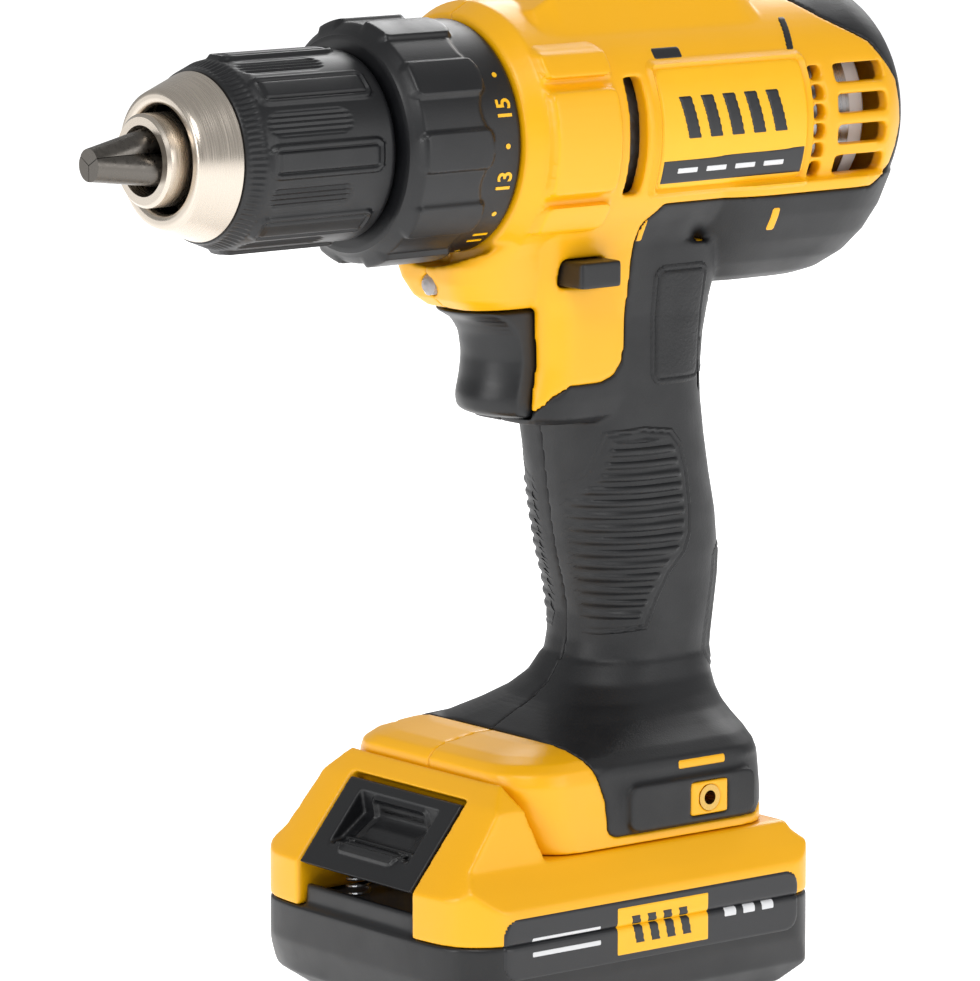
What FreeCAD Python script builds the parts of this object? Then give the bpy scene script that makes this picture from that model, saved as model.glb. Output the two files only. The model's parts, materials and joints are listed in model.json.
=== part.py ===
import FreeCAD, Part
import math
import os
import re
from types import SimpleNamespace

import Sketcher

# Cordless drill driver with a slide-on battery pack.
# Frame: +X along the chuck towards the drill bit, +Y the tool's left side, +Z up,
# origin at the centre of the battery's flat base.  All sizes are millimetres.

SIZES = {
    # chuck and clutch, along the output axis
    "axis_height": 198.5,
    "nose_front": 107.6,
    "nose_radius": 10.3,
    "nose_hole_radius": 7.8,
    "bit_bore_radius": 6.6,
    "cone_front": 103.2,
    "cone_front_radius": 15.0,
    "cone_hole_radius": 12.3,
    "cone_back": 93.4,
    "cone_back_radius": 18.6,
    "sleeve_radius": 21.2,
    "sleeve_bore": 18.7,
    "sleeve_back": 54.0,
    "sleeve_ribs": 8,
    "sleeve_rib_width": 9.0,
    "sleeve_rib_rise": 0.9,
    "chuck_body_radius": 18.2,
    "chuck_body_back": 56.5,
    "jaw_tip": 121.5,
    "jaw_angle": 13.0,
    "jaw_radius": 3.5,
    "jaw_length": 34.0,
    "jaw_count": 3,
    "jaw_gap": 0.08,
    "jaw_nut_back": 71.8,
    "jaw_nut_front": 78.2,
    "collar_front": 53.2,
    "collar_back": 23.3,
    "collar_radius": 26.3,
    "collar_bore": 22.3,
    "collar_lip_bore": 15.0,
    "collar_knobs": 10,
    "collar_knob_width": 9.0,
    "collar_knob_rise": 1.7,
    "collar_step": 31.0,
    "spindle_radius": 8.0,
    "spindle_thread_radius": 6.3,
    # gearbox
    "gear_case_radius": 24.6,
    "gear_case_bore": 22.9,
    "gear_case_back": -21.0,
    "case_nose_front": 48.5,
    "case_nose_radius": 17.9,
    "case_flange_radius": 22.2,
    "bearing_radius": 14.8,
    "bearing_width": 7.0,
    "tooth_module": 0.8,
    "sun_teeth": 15,
    "planet_teeth": 15,
    "ring_teeth": 45,
    "planet_count": 3,
    "planet_pin_radius": 2.0,
    "gear_width": 8.5,
    "output_gears_front": 11.5,
    "first_gears_front": -3.8,
    "running_gap": 0.05,
    "free_gap": 0.3,
    # motor
    "motor_front": -30.0,
    "motor_back": -76.0,
    "motor_radius": 23.0,
    "motor_wall": 1.5,
    "motor_cap_back": -84.5,
    "magnet_thickness": 4.0,
    "rotor_gap": 0.9,
    "rotor_slots": 5,
    "shaft_radius": 2.5,
    "fan_radius": 20.5,
    "fan_blades": 12,
    # housing
    "barrel_radius": 30.0,
    "barrel_back": -94.5,
    "barrel_front": 23.0,
    "barrel_end_round": 16.0,
    "hump_front": 11.0,
    "hump_back": -52.0,
    "hump_rise": 31.2,
    "hump_half_width": 14.0,
    "panel_rise": 1.0,
    "grip_half_width": 17.5,
    "skin": 1.5,
    "wall": 3.4,
    "barrel_cavity_radius": 26.3,
    "vent_half_height": 13.2,
    "louvre_count": 4,
    "louvre_pitch": 7.0,
    "louvre_gap": 4.4,
    "foot_bottom": 38.3,
    "foot_half_width": 34.0,
    "foot_back": -46.5,
    "foot_pad_rise": 1.6,
    "hook_hole_x": -24.2,
    "hook_hole_z": 46.7,
    "hook_thread_radius": 1.65,
    "hook_insert_radius": 3.0,
    "screw_radius": 1.8,
    "screw_head_radius": 3.2,
    "screw_head_y": -14.5,
    "screw_length": 26.0,
    "screw_boss_radius": 5.0,
    # controls
    "trigger_half_width": 11.0,
    "trigger_top_drop": 39.5,
    "trigger_bottom_drop": 64.3,
    "trigger_stem_drop": 48.5,
    "trigger_back": -2.0,
    "trigger_stem_radius": 2.4,
    "trigger_travel": 6.5,
    "switch_front": -12.0,
    "switch_back": -38.0,
    "switch_half_width": 12.0,
    "direction_bar_x": -0.7,
    "direction_bar_drop": 31.0,
    "direction_bar_long": 11.7,
    "direction_bar_high": 6.0,
    "direction_bar_left": 25.0,
    "direction_bar_right": 19.0,
    "selector_travel": 7.5,
    "selector_length": 15.0,
    "selector_half_width": 8.5,
    "selector_back": -33.0,
    "lamp_drop": 33.3,
    "lamp_radius": 2.4,
    # battery
    "battery_half_width": 41.2,
    "battery_front": 51.0,
    "battery_back": -53.5,
    "battery_seam": 22.0,
    "battery_deck": 38.0,
    "battery_wall": 2.6,
    "battery_corner": 9.0,
    "label_thickness": 0.3,
    "cell_radius": 9.1,
    "cell_length": 65.0,
    "cell_count": 5,
    "cell_pitch": 18.7,
    "cell_z": 13.2,
    "tray_cover": 1.6,
    "latch_half_width": 20.6,
    "latch_gap": 0.5,
    "latch_bottom": 32.5,
    "latch_top": 50.8,
    "latch_top_x": 35.9,
    "latch_travel": 4.0,
    "rail_half_width": 24.0,
    "rail_top": 50.0,
}

# Sizes and heights that follow from the driving ones.
PLACES = {
    "rotor_radius": "motor_radius-motor_wall-magnet_thickness-rotor_gap",
    "trigger_top": "axis_height-trigger_top_drop",
    "trigger_bottom": "axis_height-trigger_bottom_drop",
    "trigger_stem_z": "axis_height-trigger_stem_drop",
    "direction_bar_z": "axis_height-direction_bar_drop",
    "lamp_z": "axis_height-lamp_drop",
}

WORD = re.compile(r"[a-z][a-z_0-9]*")
UP_AXIS_X = FreeCAD.Rotation(FreeCAD.Vector(0, 1, 0), 90)
UP_AXIS_Y = FreeCAD.Rotation(FreeCAD.Vector(1, 0, 0), -90)
NO_TURN = FreeCAD.Rotation()

doc = FreeCAD.newDocument("cordless_drill")
nodes = []


def make_sheet():
    """Put every driving dimension in one spreadsheet, one row each."""
    sheet = doc.addObject("Spreadsheet::Sheet", "Dims")
    for row, (name, value) in enumerate(SIZES.items(), 1):
        sheet.set(f"A{row}", name)
        sheet.set(f"B{row}", str(value))
        sheet.setAlias(f"B{row}", name)
    doc.recompute()
    return sheet


dims = make_sheet()
size = SimpleNamespace(**{name: float(dims.get(name)) for name in SIZES})


# ---------------------------------------------------------------- helpers

def linked(text):
    """The expression with each size's name pointing at its cell, and each place worked out from sizes."""
    def cell(match):
        name = match.group(0)
        if name in PLACES:
            return f"({linked(PLACES[name])})"
        return "Dims." + name if name in SIZES else name
    return WORD.sub(cell, str(text))


def number(text):
    """The value of an expression in the sheet's sizes."""
    return float(dims.evalExpression(linked(text)))


for place_name, place_text in PLACES.items():
    setattr(size, place_name, number(place_text))


def bind(thing, prop, text):
    """Drive one property from the sheet."""
    thing.setExpression(prop, linked(text))


def place(thing, x="0", y="0", z="0", turn=NO_TURN):
    """Put an object at a place that the sheet drives."""
    thing.Placement = FreeCAD.Placement(FreeCAD.Vector(number(x), number(y), number(z)), turn)
    for letter, text in (("x", x), ("y", y), ("z", z)):
        bind(thing, f"Placement.Base.{letter}", text)
    return thing


def keep(thing, name):
    """Mark an object as a finished sub-part."""
    thing.Label = name
    nodes.append(thing)
    return thing


def origin_part(body, role):
    """One of the body's own origin planes or axes."""
    return [part for part in body.Origin.OriginFeatures if part.Role == role][0]


def outline_sketch(body, name, role, outline, offset="0"):
    """A closed sketch of straight lines whose corners the sheet drives."""
    sketch = body.newObject("Sketcher::SketchObject", name)
    sketch.AttachmentSupport = (origin_part(body, role), "")
    sketch.MapMode = "FlatFace"
    bind(sketch, "AttachmentOffset.Base.z", offset)
    corners = [FreeCAD.Vector(number(a), number(b), 0) for a, b in outline]
    count = len(corners)
    for index in range(count):
        sketch.addGeometry(Part.LineSegment(corners[index], corners[(index + 1) % count]), False)
    for index in range(count):
        sketch.addConstraint(Sketcher.Constraint("Coincident", index, 2, (index + 1) % count, 1))
    for index, corner in enumerate(outline):
        for kind, text in zip(("DistanceX", "DistanceY"), corner):
            constraint = sketch.addConstraint(Sketcher.Constraint(kind, index, 1, number(text)))
            bind(sketch, f"Constraints[{constraint}]", text)
    return sketch


def turned(name, outline, z="axis_height", y="0"):
    """A body turned about a line along X; the outline is (x, radius) pairs."""
    body = doc.addObject("PartDesign::Body", name)
    sketch = outline_sketch(body, name + "_profile", "XZ_Plane", outline)
    turn = body.newObject("PartDesign::Revolution", name + "_turn")
    turn.Profile = sketch
    turn.ReferenceAxis = (sketch, ["H_Axis"])
    turn.Angle = 360
    place(body, "0", y, z)
    return body


def add_ring(body, kind, name, outline, start, length, count):
    """Pads or pockets along X in a ring; the outline is (sideways, outwards) pairs."""
    sketch = outline_sketch(body, name + "_profile", "YZ_Plane", outline, start)
    feature = body.newObject("PartDesign::" + kind, name)
    feature.Profile = sketch
    bind(feature, "Length", length)
    feature.Reversed = kind == "Pocket"
    ring = body.newObject("PartDesign::PolarPattern", name + "_ring")
    ring.Originals = [feature]
    ring.Axis = (origin_part(body, "X_Axis"), [""])
    ring.Angle = 360
    bind(ring, "Occurrences", count)
    body.Tip = ring
    return ring


def side_prism(name, outline, low_y, high_y):
    """A body with an outline of (x, z) pairs, from low_y to high_y."""
    body = doc.addObject("PartDesign::Body", name)
    sketch = outline_sketch(body, name + "_outline", "XZ_Plane", outline, f"-({high_y})")
    pad = body.newObject("PartDesign::Pad", name + "_pad")
    pad.Profile = sketch
    bind(pad, "Length", f"({high_y})-({low_y})")
    return body


def front_prism(name, outline, low_x, high_x):
    """A body with an outline of (y, z) pairs, from low_x to high_x."""
    body = doc.addObject("PartDesign::Body", name)
    sketch = outline_sketch(body, name + "_outline", "YZ_Plane", outline, low_x)
    pad = body.newObject("PartDesign::Pad", name + "_pad")
    pad.Profile = sketch
    bind(pad, "Length", f"({high_x})-({low_x})")
    return body


def box(name, low, high):
    """A box between two corners whose coordinates the sheet drives."""
    block = doc.addObject("Part::Box", name)
    for prop, start, end in zip(("Length", "Width", "Height"), low, high):
        bind(block, prop, f"({end})-({start})")
    return place(block, *low)


def cylinder(name, radius, length, start, turn=NO_TURN):
    """A cylinder from a start point, along Z before it is turned."""
    rod = doc.addObject("Part::Cylinder", name)
    bind(rod, "Radius", radius)
    bind(rod, "Height", length)
    return place(rod, *start, turn)


def fused(name, parts):
    joined = doc.addObject("Part::MultiFuse", name)
    joined.Shapes = parts
    joined.Refine = True
    return joined


def shared(name, parts):
    overlap = doc.addObject("Part::MultiCommon", name)
    overlap.Shapes = parts
    return overlap


def cut(name, base, tool):
    rest = doc.addObject("Part::Cut", name)
    rest.Base = base
    rest.Tool = tool
    rest.Refine = True
    return rest


def grouped(name, parts):
    """Several loose solids that are one node."""
    group = doc.addObject("Part::Compound", name)
    group.Links = parts
    return group


def freeform(name, shape):
    """A sub-part or tool whose surface Part's own functions make."""
    feature = doc.addObject("Part::Feature", name)
    feature.Shape = shape
    return feature


# ---------------------------------------------------------------- outer form

def oval(z, back, front, half_width, roundness):
    """A level closed outline: a rectangle whose corners are quarter ellipses."""
    middle = (back + front) / 2
    half_length = (front - back) / 2
    long = roundness * half_length
    wide = roundness * half_width
    edges = []
    last = None
    for quarter in range(4):
        ahead = 1 if quarter in (0, 3) else -1
        left = 1 if quarter in (0, 1) else -1
        centre = FreeCAD.Vector(middle + ahead * (half_length - long), left * (half_width - wide), z)
        corner = quarter_ellipse(centre, long, wide, quarter)
        if last is not None:
            edges.append(Part.LineSegment(last, corner.Vertexes[0].Point).toShape())
        edges.append(corner)
        last = corner.Vertexes[-1].Point
    edges.append(Part.LineSegment(last, edges[0].Vertexes[0].Point).toShape())
    return Part.Wire(edges)


def quarter_ellipse(centre, long, wide, quarter):
    """A quarter of an ellipse in a level plane, turned 90 degrees for each quarter."""
    start = math.radians(90 * quarter)
    middle = start + math.radians(45)
    end = start + math.radians(90)
    points = [centre + FreeCAD.Vector(long * math.cos(angle), wide * math.sin(angle), 0)
              for angle in (start, (start + middle) / 2, middle, (middle + end) / 2, end)]
    curve = Part.BSplineCurve()
    curve.interpolate(points)
    return curve.toShape()


def level_loft(sections, inset):
    """A solid through level ovals, each drawn in by the inset."""
    wires = []
    for z, back, front, half_width, roundness in sections:
        wires.append(oval(z, back + inset, front - inset, half_width - inset, roundness))
    return Part.makeLoft(wires, True, True)


def barrel_form(inset):
    """The motor barrel: a cylinder with a rounded back."""
    radius = size.barrel_radius - inset
    back = size.barrel_back + inset
    bend = size.barrel_end_round - inset
    front = size.barrel_front
    flange = size.collar_radius + size.panel_rise - inset
    mid = bend * (1 - math.sqrt(0.5))
    start = FreeCAD.Vector(back, 0, radius - bend)
    edges = [
        Part.LineSegment(FreeCAD.Vector(back, 0, 0), start).toShape(),
        Part.Arc(start, FreeCAD.Vector(back + mid, 0, radius - mid),
                 FreeCAD.Vector(back + bend, 0, radius)).toShape(),
    ]
    corners = [(back + bend, radius), (front - 5, radius), (front, flange), (front, 0), (back, 0)]
    for (x1, r1), (x2, r2) in zip(corners, corners[1:]):
        edges.append(Part.LineSegment(FreeCAD.Vector(x1, 0, r1), FreeCAD.Vector(x2, 0, r2)).toShape())
    face = Part.Face(Part.Wire(edges))
    solid = face.revolve(FreeCAD.Vector(0, 0, 0), FreeCAD.Vector(1, 0, 0), 360)
    solid.translate(FreeCAD.Vector(0, 0, size.axis_height))
    return solid


def hump_form(inset):
    """The flat-topped hump over the gearbox that carries the speed selector."""
    top = size.axis_height + size.hump_rise - inset
    narrow = size.hump_half_width - inset
    wide = narrow + 6
    low = size.axis_height + 15
    ends = []
    for x, drop in ((size.hump_back, 2.5), (size.hump_back + 5, 0), (size.hump_front - 6, 0),
                    (size.hump_front, 3.0)):
        corners = [(-wide, low), (-wide, top - 9), (-narrow, top - drop), (narrow, top - drop),
                   (wide, top - 9), (wide, low)]
        points = [FreeCAD.Vector(x, y, z) for y, z in corners]
        ends.append(Part.makePolygon(points + points[:1]))
    return Part.makeLoft(ends, True, True)


def handle_form(inset):
    """The handle, from the foot up into the neck behind the trigger."""
    half = size.grip_half_width
    top = size.axis_height
    return level_loft([
        (62.0, -47.5, -6.5, half - 0.6, 0.85),
        (74.0, -47.5, -9.0, half - 1.2, 0.85),
        (80.0, -48.0, -10.4, half - 1.2, 0.85),
        (86.0, -48.8, -10.8, half - 1.0, 0.85),
        (93.0, -49.7, -9.6, half - 0.6, 0.85),
        (100.0, -50.0, -7.6, half - 0.2, 0.85),
        (108.0, -49.2, -6.0, half, 0.85),
        (117.0, -47.3, -4.6, half, 0.85),
        (top - 72.5, -45.4, -3.4, half, 0.82),
        (top - 63.5, -43.8, -2.2, half, 0.78),
        (top - 55.5, -42.9, -1.0, half, 0.72),
        (top - 48.5, -43.0, -0.5, half, 0.66),
        (top - 42.5, -44.0, 0.0, half, 0.62),
        (top - 26.5, -48.0, 2.0, half + 2.0, 0.6),
    ], inset)


def neck_form(inset):
    """The neck around the trigger, and the lip under it."""
    half = size.grip_half_width
    top = size.axis_height
    return level_loft([
        (top - 66.1 + inset, -36.0, 8.5, half - 3.0, 0.5),
        (top - 64.5 + inset, -36.0, 9.4, half - 1.2, 0.42),
        (top - 60.5, -36.0, 9.0, half - 0.4, 0.38),
        (top - 52.5, -36.0, 7.6, half - 0.1, 0.36),
        (top - 40.5, -36.0, 8.0, half, 0.36),
        (top - 30.5, -36.0, 11.0, half + 0.6, 0.36),
        (top - 24.5, -36.0, 14.0, half + 2.4, 0.36),
        (top - 16.5, -36.0, 16.0, half + 6.5, 0.36),
    ], inset)


def lamp_nose_form(inset):
    """The nose under the clutch collar that holds the work lamp."""
    half = size.grip_half_width
    top = size.axis_height
    return level_loft([
        (top - 38.9 + inset, -20.0, 24.5, half - 5.0, 0.6),
        (top - 36.5 + inset, -20.0, 27.6, half - 3.8, 0.55),
        (top - 32.5, -20.0, 29.8, half - 2.6, 0.5),
        (top - 28.5, -20.0, 30.6, half - 1.2, 0.5),
        (top - 25.9, -20.0, 29.0, half - 0.2, 0.5),
        (top - 22.5, -20.0, 22.8, half + 2.0, 0.4),
        (top - 14.5, -20.0, 22.8, half + 7.0, 0.3),
    ], inset)


def keel_form(inset):
    """The thick under-side behind the handle, below the motor."""
    top = size.axis_height
    return level_loft([
        (top - 37.6 + inset, -76.0, -38.0, 11.0, 0.75),
        (top - 36.2 + inset, -80.5, -37.0, 14.5, 0.75),
        (top - 32.5, -86.5, -35.0, 19.0, 0.75),
        (top - 27.5, -90.8, -33.0, 23.0, 0.75),
        (top - 21.5, -93.2, -30.0, 26.3, 0.7),
        (top - 13.5, -94.0, -25.0, 29.2, 0.6),
    ], inset)


def foot_form(inset):
    """The foot that the battery slides onto."""
    half = size.foot_half_width
    back = size.foot_back
    low = size.foot_bottom
    return level_loft([
        (low, back, 22.6, half - 0.4, 0.3),
        (low + 8.0, back, 26.4, half, 0.32),
        (low + 16.0, back, 29.6, half, 0.36),
        (low + 18.8, back + 0.2, 29.6, half - 1.0, 0.38),
        (low + 20.6 - inset, back + 0.6, 28.0, half - 2.8, 0.42),
        (low + 21.8 - inset, back + 1.2, 24.5, half - 5.5, 0.45),
        (low + 23.0 - inset, back + 1.6, 16.0, half - 8.5, 0.45),
    ], inset)


def flare_form(inset):
    """The flare between the foot and the handle."""
    half = size.foot_half_width
    back = size.foot_back
    low = size.foot_bottom
    return level_loft([
        (low + 16.5, back, 16.5, half + 0.2, 0.4),
        (low + 18.5, back - 0.1, 15.8, half - 0.4, 0.45),
        (low + 21.0, back - 0.3, 14.0, half - 3.2, 0.5),
        (low + 23.5, back - 0.5, 11.0, half - 7.0, 0.6),
        (low + 26.0, back - 0.7, 6.0, half - 10.4, 0.7),
        (low + 29.0, back - 0.9, -0.5, half - 13.4, 0.78),
        (low + 32.5, back - 1.0, -5.5, half - 15.8, 0.82),
        (low + 37.0, back - 1.2, -8.6, half - 17.2, 0.85),
    ], inset)


def rounded_panel(x_low, x_high, z_mid, tall, rise):
    """A raised panel on the barrel's side, as a band of a larger cylinder."""
    outer = Part.makeCylinder(size.barrel_radius + rise, x_high - x_low,
                              FreeCAD.Vector(x_low, 0, size.axis_height), FreeCAD.Vector(1, 0, 0))
    window = Part.makeBox(x_high - x_low, 120, tall,
                          FreeCAD.Vector(x_low, -60, z_mid - tall / 2))
    return outer.common(window)


def whole_form(inset):
    """The tool's whole outside, drawn in by the inset."""
    pieces = [barrel_form(inset), hump_form(inset), handle_form(inset), neck_form(inset),
              lamp_nose_form(inset), keel_form(inset), foot_form(inset), flare_form(inset)]
    if inset == 0:
        centre = size.axis_height
        for z_mid, tall in ((centre, 24.0), (centre + 17.0, 5.5), (centre - 17.5, 6.5)):
            pieces.append(rounded_panel(-1.0, 18.0, z_mid, tall, size.panel_rise))
    return pieces[0].multiFuse(pieces[1:])


def side_solid(outline, half_width=60.0):
    """An outline of (x, z) pairs, as thick as the whole tool."""
    points = [FreeCAD.Vector(x, -half_width, z) for x, z in outline]
    face = Part.Face(Part.makePolygon(points + points[:1]))
    return face.extrude(FreeCAD.Vector(0, 2 * half_width, 0))


def bare_zone():
    """Where the hard housing shows, seen from the side: the barrel, the neck and the foot's front."""
    centre = size.axis_height
    barrel = side_solid([
        (40, centre + 51.5), (-62, centre + 51.5), (-64, centre + 27), (-70, centre + 22.5),
        (-80, centre + 17),
        (-87, centre + 8), (-88.5, centre - 2), (-86, centre - 12), (-79, centre - 16.2),
        (-19, centre - 16.2), (-15, centre - 21), (-14, centre - 30.5), (-13.5, centre - 48.5),
        (-12.6, centre - 53), (-10.6, centre - 55.5), (-7, centre - 56.8), (2, centre - 56.9),
        (6, centre - 59.5), (9.3, centre - 64), (9.5, centre - 73.5), (40, centre - 73.5),
    ])
    low = size.foot_bottom
    toe = side_solid([
        (40, low + 40), (12.5, low + 24.5), (10.5, low + 22), (8, low + 18), (5.2, low + 11),
        (4.3, low + 4), (3.4, low + 2.8), (1.5, low + 2.1), (-40, low + 2.1), (-43, low + 4),
        (-60, low + 4), (-60, 30), (40, 30),
    ])
    return barrel.fuse(toe)


def cavity_form():
    """The hollow inside both housing halves."""
    axis = FreeCAD.Vector(1, 0, 0)
    centre = size.axis_height
    wall = size.wall
    back = size.barrel_back + wall
    barrel = Part.makeCylinder(size.barrel_cavity_radius, size.barrel_front + 0.1 - back,
                               FreeCAD.Vector(back, 0, centre), axis)
    rounded = barrel.common(barrel_form(size.wall))
    neck = Part.makeBox(37.5, 2 * (size.grip_half_width - wall), 44,
                        FreeCAD.Vector(-39.0, -(size.grip_half_width - wall), centre - 62.1))
    handle = level_loft([
        (54.0, -42.5, -12.5, 12.5, 0.85), (76.0, -42.5, -14.5, 12.5, 0.85),
        (86.0, -44.0, -14.5, 12.8, 0.85), (99.0, -45.0, -12.5, 13.5, 0.85),
        (118.0, -42.5, -9.0, 13.8, 0.85), (centre - 60.5, -38.5, -6.0, 13.8, 0.7),
    ], 0)
    rails = Part.makeBox(78.0, 2 * (size.rail_half_width + 2.2), size.rail_top + 1.0 - 30.0,
                         FreeCAD.Vector(size.foot_back + wall, -(size.rail_half_width + 2.2), 30.0))
    foot = Part.makeBox(60.0, 48.0, 8.0,
                        FreeCAD.Vector(size.foot_back + wall, -24.0, size.rail_top))
    keel = Part.makeBox(32.0, 18.0, 16.0, FreeCAD.Vector(-74.0, -9.0, centre - 32.5))
    return rounded.multiFuse([neck, handle, rails, foot, keel])


SCREW_PLACES = [(16.0, size.axis_height - 30.5), (-30.0, size.axis_height - 31.5),
                (-81.0, size.axis_height - 29.0), (-22.0, size.axis_height - 74.5), (-28.5, 84.0),
                (-36.0, 62.0), (17.0, 56.0)]


def rod_along_y(radius, low_y, high_y, x, z):
    return Part.makeCylinder(radius, high_y - low_y, FreeCAD.Vector(x, low_y, z), FreeCAD.Vector(0, 1, 0))


def screw_bosses():
    """Solid posts that the housing screws run through."""
    posts = [rod_along_y(size.screw_boss_radius, -60, 60, x, z) for x, z in SCREW_PLACES]
    return posts[0].multiFuse(posts[1:])


def screw_holes():
    """Shank holes through both halves, and deep head pockets from the right."""
    holes = []
    for x, z in SCREW_PLACES:
        holes.append(rod_along_y(size.screw_radius, size.screw_head_y,
                                 size.screw_head_y + size.screw_length, x, z))
        holes.append(rod_along_y(size.screw_head_radius + size.free_gap, -60, size.screw_head_y, x, z))
    return holes


def vents():
    """Air slots through both sides of the barrel."""
    centre = size.axis_height
    slots = [Part.makeBox(5.0, 120, 2 * size.vent_half_height,
                          FreeCAD.Vector(-10.0, -60, centre - size.vent_half_height))]
    small = 2 * size.vent_half_height / 6
    for index in range(6):
        low = centre - size.vent_half_height + small * index
        slots.append(Part.makeBox(3.6, 120, small - 1.0, FreeCAD.Vector(-62.8, -60, low + 0.5)))
    bottom = centre - size.louvre_pitch * (size.louvre_count - 1) / 2
    for index in range(int(size.louvre_count)):
        middle = bottom + size.louvre_pitch * index
        slots.append(Part.makeBox(15.0, 120, size.louvre_gap,
                                  FreeCAD.Vector(-82.0, -60, middle - size.louvre_gap / 2)))
    keep_out = Part.makeBox(120, 34, 60, FreeCAD.Vector(-100, -17, centre - 30))
    return [slot.cut(keep_out) for slot in slots]


def control_openings():
    """Where the trigger, the direction bar, the selector and the lamp come through."""
    gap = size.free_gap
    half = size.trigger_half_width + gap
    pocket_back = size.trigger_back - size.trigger_travel - gap
    trigger = Part.makeBox(60.0, 2 * half, size.trigger_top + gap - (size.trigger_bottom - gap),
                           FreeCAD.Vector(pocket_back, -half, size.trigger_bottom - gap))
    long = size.direction_bar_long + 2 * gap
    high = size.direction_bar_high + 2 * gap
    bar = Part.makeBox(long, 120, high, FreeCAD.Vector(size.direction_bar_x - long / 2, -60,
                                                       size.direction_bar_z - high / 2))
    selector = Part.makeBox(size.selector_length + size.selector_travel + 2 * gap,
                            2 * (size.selector_half_width + gap), 20.0,
                            FreeCAD.Vector(size.selector_back - gap,
                                           -(size.selector_half_width + gap),
                                           size.axis_height + size.gear_case_radius))
    lamp = Part.makeCylinder(size.lamp_radius, 14.0, FreeCAD.Vector(20.0, 0, size.lamp_z),
                             FreeCAD.Vector(1, 0, 0))
    return [trigger, bar, selector, lamp]


def foot_pads():
    """The raised bars on both sides of the foot, around the hook's threaded holes."""
    length = 37.0
    tall = 10.6
    y_out = size.foot_half_width + size.foot_pad_rise
    bars = []
    for side in (-1, 1):
        y_low = min(side * y_out, side * (size.foot_half_width - 4.0))
        bar = Part.makeBox(length, y_out - size.foot_half_width + 4.0, tall,
                           FreeCAD.Vector(-38.0, y_low, size.hook_hole_z - tall / 2))
        edges = [edge for edge in bar.Edges if abs(edge.Vertexes[0].Y - edge.Vertexes[1].Y) > 1]
        bars.append(bar.makeFillet(2.5, edges))
    return bars[0].fuse(bars[1])


def hook_windows():
    """The squares in the pads where the hard housing shows around the threaded holes."""
    return Part.makeBox(11.0, 120, 7.8, FreeCAD.Vector(size.hook_hole_x - 5.5, -60, size.hook_hole_z - 3.9))


def hook_bores():
    """Pockets for the threaded inserts on both sides."""
    length = 9.0
    outer = size.foot_half_width + size.foot_pad_rise
    left = rod_along_y(size.hook_insert_radius, outer - length, outer + 1, size.hook_hole_x, size.hook_hole_z)
    right = rod_along_y(size.hook_insert_radius, -outer - 1, length - outer, size.hook_hole_x,
                        size.hook_hole_z)
    return [left, right]


def half_space(side):
    """Everything on one side of the tool's middle plane."""
    low = 0 if side > 0 else -100
    return Part.makeBox(300, 100, 300, FreeCAD.Vector(-150, low, 0))


def make_housing():
    """Both hard housing halves and the soft grips moulded over them."""
    outer = whole_form(0).fuse(foot_pads())
    under_skin = whole_form(size.skin)
    bare = bare_zone().fuse(hook_windows())
    openings = control_openings() + vents() + screw_holes() + hook_bores()
    openings.append(collar_clearance())
    hollow = cavity_form().cut(screw_bosses())
    hard = under_skin.fuse(outer.common(bare)).cut(hollow).cut(openings)
    soft = outer.cut(bare).cut(under_skin).cut(openings).cut(hollow)
    for side, name in ((1, "left"), (-1, "right")):
        keep(freeform(name + "_housing", largest(hard.common(half_space(side)))), name + "_housing")
        keep(freeform(name + "_grip", solids_over(soft.common(half_space(side)), 20.0)), name + "_grip")


def collar_clearance():
    """The room in front of the housing where the clutch collar turns."""
    return Part.makeCylinder(size.collar_radius + size.collar_knob_rise + 1.0, 60.0,
                             FreeCAD.Vector(size.barrel_front, 0, size.axis_height),
                             FreeCAD.Vector(1, 0, 0))


def largest(shape):
    return max(shape.Solids, key=lambda solid: solid.Volume)


def solids_over(shape, least_volume):
    """The shape without crumbs that boolean cuts leave."""
    solids = [solid for solid in shape.Solids if solid.Volume > least_volume]
    return solids[0] if len(solids) == 1 else Part.makeCompound(solids)


def make_nameplates():
    """A thin curved plate on each side of the barrel."""
    axis = FreeCAD.Vector(1, 0, 0)
    back = FreeCAD.Vector(-57.0, 0, size.axis_height)
    ring = Part.makeCylinder(size.barrel_radius + size.label_thickness, 42.0, back, axis)
    ring = ring.cut(Part.makeCylinder(size.barrel_radius, 42.0, back, axis))
    plates = []
    for low_y in (10, -60):
        corner = FreeCAD.Vector(-57.0, low_y, size.axis_height - size.vent_half_height)
        plates.append(ring.common(Part.makeBox(42.0, 50, 2 * size.vent_half_height, corner)))
    keep(freeform("nameplates", Part.makeCompound(plates)), "nameplates")


def make_fasteners():
    """The housing screws, and the threaded inserts of the hook holes."""
    screws = []
    for x, z in SCREW_PLACES:
        head_y = size.screw_head_y
        head = rod_along_y(size.screw_head_radius, head_y - 2.4, head_y, x, z)
        socket = rod_along_y(1.5, head_y - 2.5, head_y - 0.8, x, z)
        shank = rod_along_y(size.screw_radius, head_y, head_y + size.screw_length, x, z)
        screws.append(head.cut(socket).fuse(shank))
    keep(freeform("housing_screws", Part.makeCompound(screws)), "housing_screws")
    outer = size.foot_half_width + size.foot_pad_rise
    inserts = []
    for side in (-1, 1):
        low = min(side * outer, side * (outer - 9.0))
        body = rod_along_y(size.hook_insert_radius, low, low + 9.0, size.hook_hole_x, size.hook_hole_z)
        bore = rod_along_y(size.hook_thread_radius, low - 1, low + 10.0, size.hook_hole_x, size.hook_hole_z)
        inserts.append(body.cut(bore))
    keep(freeform("hook_inserts", Part.makeCompound(inserts)), "hook_inserts")


# ---------------------------------------------------------------- chuck

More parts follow.
